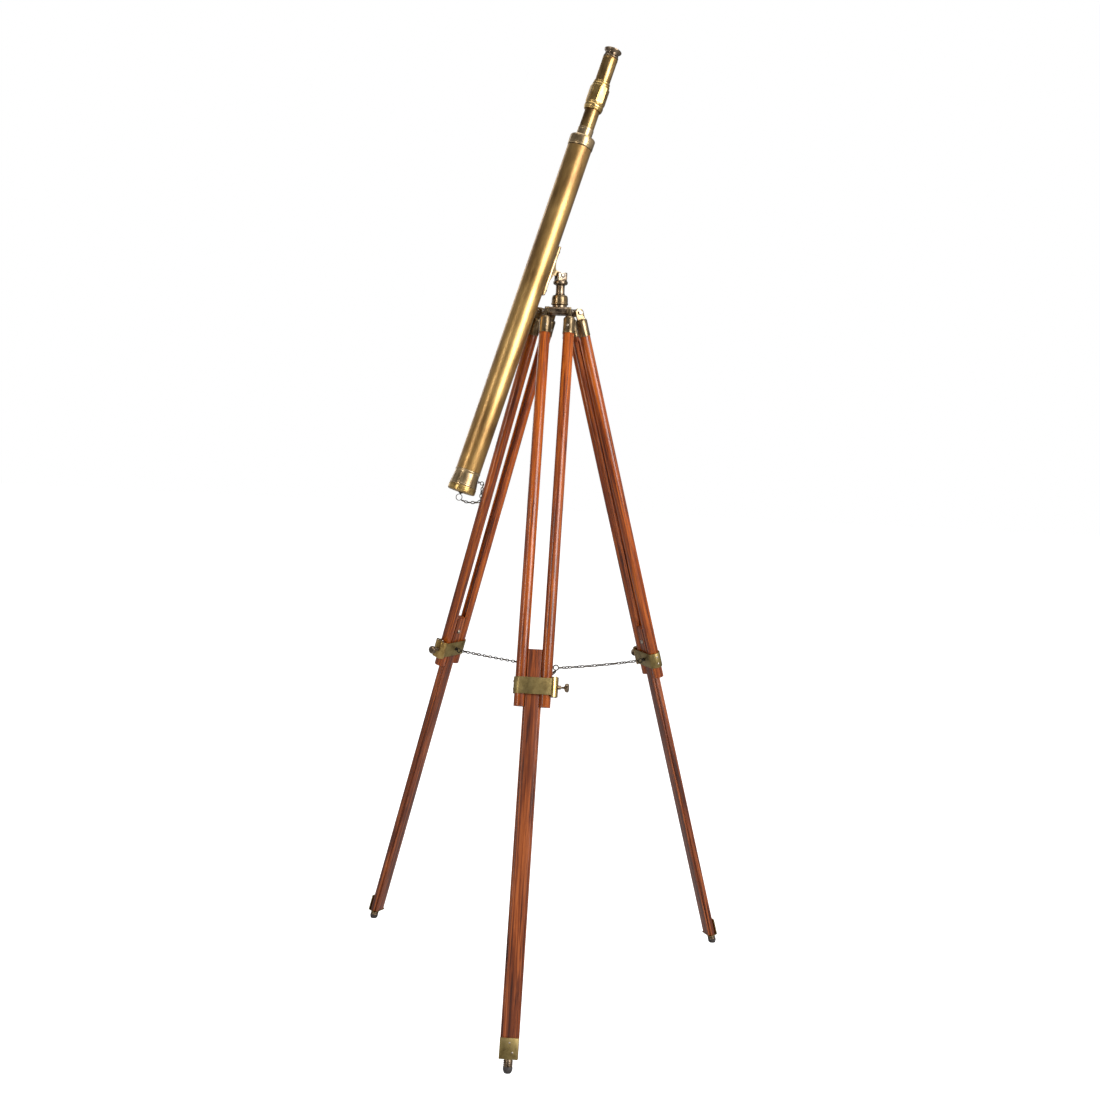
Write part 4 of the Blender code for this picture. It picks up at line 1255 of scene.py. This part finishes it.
    eye_base = lathe(
        [
            (0.0, 0.0058),
            (0.0016, 0.0058),
            (0.0018, 0.0022),
            (0.0042, 0.0016),
            (0.0042, 0.0003),
            (0.0, 0.0003),
        ],
        ring=False,
        steps=32,
        soft=0.0003,
    )
    eye_ring = torus(
        EYE_R, 0.0013, Matrix.Translation((0, 0, EYE_REACH)) @ Matrix.Rotation(math.pi / 2, 4, "Y"), 36, 10
    )
    eye = joined(eye_base, eye_ring)
    eye.transform(Matrix.Translation((0, wall_out, -BAND_MID)) @ Matrix.Rotation(-math.pi / 2, 4, "X"))
    found.append(("band_chain_eye", eye, "chain", "leg_", ("chain_eye",)))

    knob = lathe(
        [
            (0.0, 0.0712),
            (0.0058, 0.0711),
            (0.0072, 0.0704),
            (0.0082, 0.0700),
            (0.0084, 0.0692),
            (0.0084, 0.0650),
            (0.0082, 0.0640),
            (0.0060, 0.0626),
            (0.0034, 0.0620),
            (0.0025, 0.0612),
            (0.0021, 0.0590),
            (0.0021, 0.0556),
            (0.0040, 0.0546),
            (0.0044, 0.0532),
            (0.0040, 0.0516),
            (0.0044, 0.0508),
            (0.0044, 0.0500),
            (0.0024, 0.0498),
            (0.0024, 0.0378),
            (0.0, 0.0378),
        ],
        ring=False,
        steps=48,
        soft=0.0004,
    )
    teeth = []
    for i in range(26 * 4):
        radius = 0.0088 if i % 4 in (1, 2) else 0.0083
        angle = 2 * math.pi * i / (26 * 4)
        teeth.append((radius * math.cos(angle), radius * math.sin(angle)))
    knurl = outline(teeth, 0.0046, Matrix.Translation((0, 0, 0.0671)))
    knob = union(knob, bevelled(knurl, 0.0003, 1, 60))
    knob.transform(Matrix.Translation((0, 0, -BAND_MID)) @ Matrix.Rotation(math.pi / 2, 4, "Y"))
    found.append(("clamp_thumbscrew", knob, "bronze", "thumbscrew_", ("thumbscrew",)))

    length = BATTEN_END - BATTEN_TOP
    middle = -(BATTEN_END + BATTEN_TOP) / 2
    half_thick = BATTEN_THICK / 2
    batten = union(
        box((2 * BODY_HALF, BATTEN_THICK, length), (0, 0, middle)),
        box((2 * BATTEN_HALF, TONGUE_THICK, length), (0, 0, middle)),
    )
    batten = bevelled(batten, 0.0008, 2, 50)
    batten = cut(batten, rod(0.0022, (0, half_thick - 0.012, -0.7420), (0, 0.03, -0.7420), 24))
    found.append(("leg_batten", batten, "leg_wood", "lower_leg_", ("lower_leg",)))
    stop = slotted(0.0050, 0.0036, 0.0011, 40)
    stop.transform(
        Matrix.Translation((0, half_thick + 0.0002, -0.7420))
        @ Matrix.Rotation(-math.pi / 2, 4, "X")
        @ Matrix.Rotation(0.5, 4, "Z")
    )
    found.append(("batten_stop_screw", stop, "steel", "lower_leg_", ("stop_screw",)))
    under = -(BATTEN_END + 0.0003)
    plate = union(
        box(
            (2 * BATTEN_HALF, PLATE_WALL, BATTEN_END + 0.0003 + PLATE_WALL - PLATE_TOP),
            (0, -(half_thick + 0.0003 + PLATE_WALL / 2), -(BATTEN_END + 0.0003 + PLATE_WALL + PLATE_TOP) / 2),
        ),
        box((2 * BATTEN_HALF, BATTEN_THICK + PLATE_WALL, PLATE_WALL), (0, -PLATE_WALL / 2, under - PLATE_WALL / 2)),
    )
    found.append(("leg_foot_plate", bevelled(plate, 0.0007, 2, 50), "band_brass", "lower_leg_", ("foot_plate",)))
    nails = []
    for x, t in ((0.0008, 1.4525), (0.0070, 1.4700)):
        nail = dome(0.0018, 0.0006)
        nail.transform(
            Matrix.Translation((x, -(half_thick + 0.0003 + PLATE_WALL), -t)) @ Matrix.Rotation(math.pi / 2, 4, "X")
        )
        nails.append(nail)
    found.append(("foot_nails", joined(*nails), "steel", "lower_leg_", ()))
    return found


def foot_meshes(to_floor):
    start = BATTEN_END + 0.0006 + PLATE_WALL
    profile = [(0.0, -start), (0.0078, -start), (0.0078, -(start + 0.0016))]
    ribs, pitch = 3, 0.0034
    for i in range(ribs):
        top = start + 0.0020 + i * pitch
        profile += [(0.0088, -(top + 0.0002)), (FOOT_R, -(top + 0.0010)), (0.0088, -(top + 0.0022))]
        profile += [(0.0082, -(top + 0.0027)), (0.0082, -(top + 0.0032))]
    last = start + 0.0020 + ribs * pitch
    profile += [(0.0086, -last), (0.0086, -(last + 0.0010)), (0.0, -(last + 0.0010))]
    stub = lathe(profile, ring=False, steps=56, soft=0.0004)
    tip = lathe(
        [
            (0.0, -(last + 0.0011)),
            (FOOT_R, -(last + 0.0011)),
            (FOOT_R, -(last + 0.0060)),
            (0.0086, -(last + 0.0082)),
            (0.0076, -(last + 0.0100)),
            (0.0064, -(last + 0.0130)),
            (0.0, -(last + 0.0200)),
        ],
        ring=False,
        steps=56,
        soft=0.0006,
    )
    for mesh in (stub, tip):
        mesh.transform(Matrix.Translation((0, -FOOT_OFFSET, 0)))
    spot = (to_floor @ Vector((0, 0, -start))).xy.to_3d()
    below = box((0.4, 0.4, 0.2), (0, 0, -0.1))
    below.transform(to_floor.inverted() @ Matrix.Translation(spot))
    return stub, cut(tip, below)


def make_legs():
    meshes = leg_meshes()
    local = STAND.inverted() @ leg_frame(0.0)
    stub, tip = foot_meshes(local)
    for name, azimuth in LEGS:
        place = leg_frame(azimuth)
        for label, mesh, finish, prefix, nodes in meshes:
            piece(
                label + "_" + name,
                mesh,
                finish,
                place,
                prefix + name,
                *[node + "_" + name for node in nodes],
            )
        piece("foot_stub_" + name, stub, "bronze", place, "lower_leg_" + name, "foot_" + name)
        piece("foot_tip_" + name, tip, "rubber", place, "lower_leg_" + name)


# ---------------------------------------------------------------- studio
def make_studio():
    material, tree, shader = new_material("studio_paper")
    paper = noise(tree, mapped(tree, (1, 1, 1)), 3.0, 2.0)
    tree.links.new(
        ramp(tree, paper, ((0.3, (0.46, 0.46, 0.46)), (0.7, (0.48, 0.48, 0.48)))), shader.inputs["Base Color"]
    )
    shader.inputs["Roughness"].default_value = 0.9
    shader.inputs["Specular IOR Level"].default_value = 0.0
    shader.inputs["Emission Color"].default_value = (1.0, 1.0, 1.0, 1.0)
    # Bright paper to the eye, that throws little light back on the object.
    sight = tree.nodes.new("ShaderNodeLightPath")
    glow = tree.nodes.new("ShaderNodeMath")
    glow.operation = "MULTIPLY"
    glow.inputs[1].default_value = 1.05
    tree.links.new(sight.outputs["Is Camera Ray"], glow.inputs[0])
    tree.links.new(glow.outputs["Value"], shader.inputs["Emission Strength"])
    bm = bmesh.new()
    bmesh.ops.create_grid(bm, x_segments=2, y_segments=2, size=14.0)
    mesh = bpy.data.meshes.new("floor")
    bm.to_mesh(mesh)
    bm.free()
    mesh.materials.append(material)
    floor = bpy.data.objects.new("floor", mesh)
    floor.location = (0, 0, -0.0002)
    bpy.context.scene.collection.objects.link(floor)

    world = bpy.data.worlds.new("studio")
    bpy.context.scene.world = world
    world.use_nodes = True
    nodes, links = world.node_tree.nodes, world.node_tree.links
    background = nodes["Background"]
    coords = nodes.new("ShaderNodeTexCoord")
    split = nodes.new("ShaderNodeSeparateXYZ")
    links.new(coords.outputs["Generated"], split.inputs["Vector"])
    across = nodes.new("ShaderNodeMapRange")
    across.inputs["From Min"].default_value = -1.0
    across.inputs["From Max"].default_value = 1.0
    links.new(split.outputs["X"], across.inputs["Value"])
    side = nodes.new("ShaderNodeValToRGB")
    side.color_ramp.interpolation = "EASE"
    stops = ((0.0, 0.55), (0.14, 0.10), (0.28, 0.24), (0.48, 0.15), (0.64, 0.36), (0.80, 0.16), (1.0, 0.60))
    while len(side.color_ramp.elements) < len(stops):
        side.color_ramp.elements.new(0.5)
    for element, (place, value) in zip(side.color_ramp.elements, stops):
        element.position = place
        element.color = (value, value, value * 1.02, 1)
    links.new(across.outputs["Result"], side.inputs["Fac"])
    path = nodes.new("ShaderNodeLightPath")
    seen = nodes.new("ShaderNodeMix")
    seen.data_type = "RGBA"
    links.new(path.outputs["Is Camera Ray"], seen.inputs[0])
    links.new(side.outputs["Color"], seen.inputs[6])
    seen.inputs[7].default_value = (1.0, 1.0, 1.0, 1.0)
    links.new(seen.outputs[2], background.inputs["Color"])
    background.inputs["Strength"].default_value = 1.0

    def area(name, place, target, size, energy, colour=(1, 1, 1)):
        light = bpy.data.lights.new(name, "AREA")
        light.shape = "RECTANGLE"
        light.size, light.size_y = size
        light.energy = energy
        light.color = colour
        obj = bpy.data.objects.new(name, light)
        bpy.context.scene.collection.objects.link(obj)
        obj.location = place
        obj.rotation_euler = (Vector(target) - Vector(place)).to_track_quat("-Z", "Y").to_euler()
        return obj

    centre = (0, AXIS_Y, 1.0)
    area("key", (2.5, -2.3, 2.2), centre, (1.8, 2.8), 160)
    area("strip", (-2.3, -2.6, 1.5), centre, (0.45, 2.4), 34, (1.0, 0.97, 0.92))
    area("top", (0.3, 0.6, 4.2), centre, (2.6, 2.6), 60)
    area("rim", (-2.2, 2.6, 2.2), centre, (0.8, 2.2), 14)


bpy.context.scene.view_settings.view_transform = "Standard"
make_camera()
make_materials()
make_head()
make_post()
make_cradle()
make_tube()
make_focus()
make_eyepiece()
make_cap()
make_chains()
make_legs()
make_studio()
bpy.data.collections.remove(WORK)
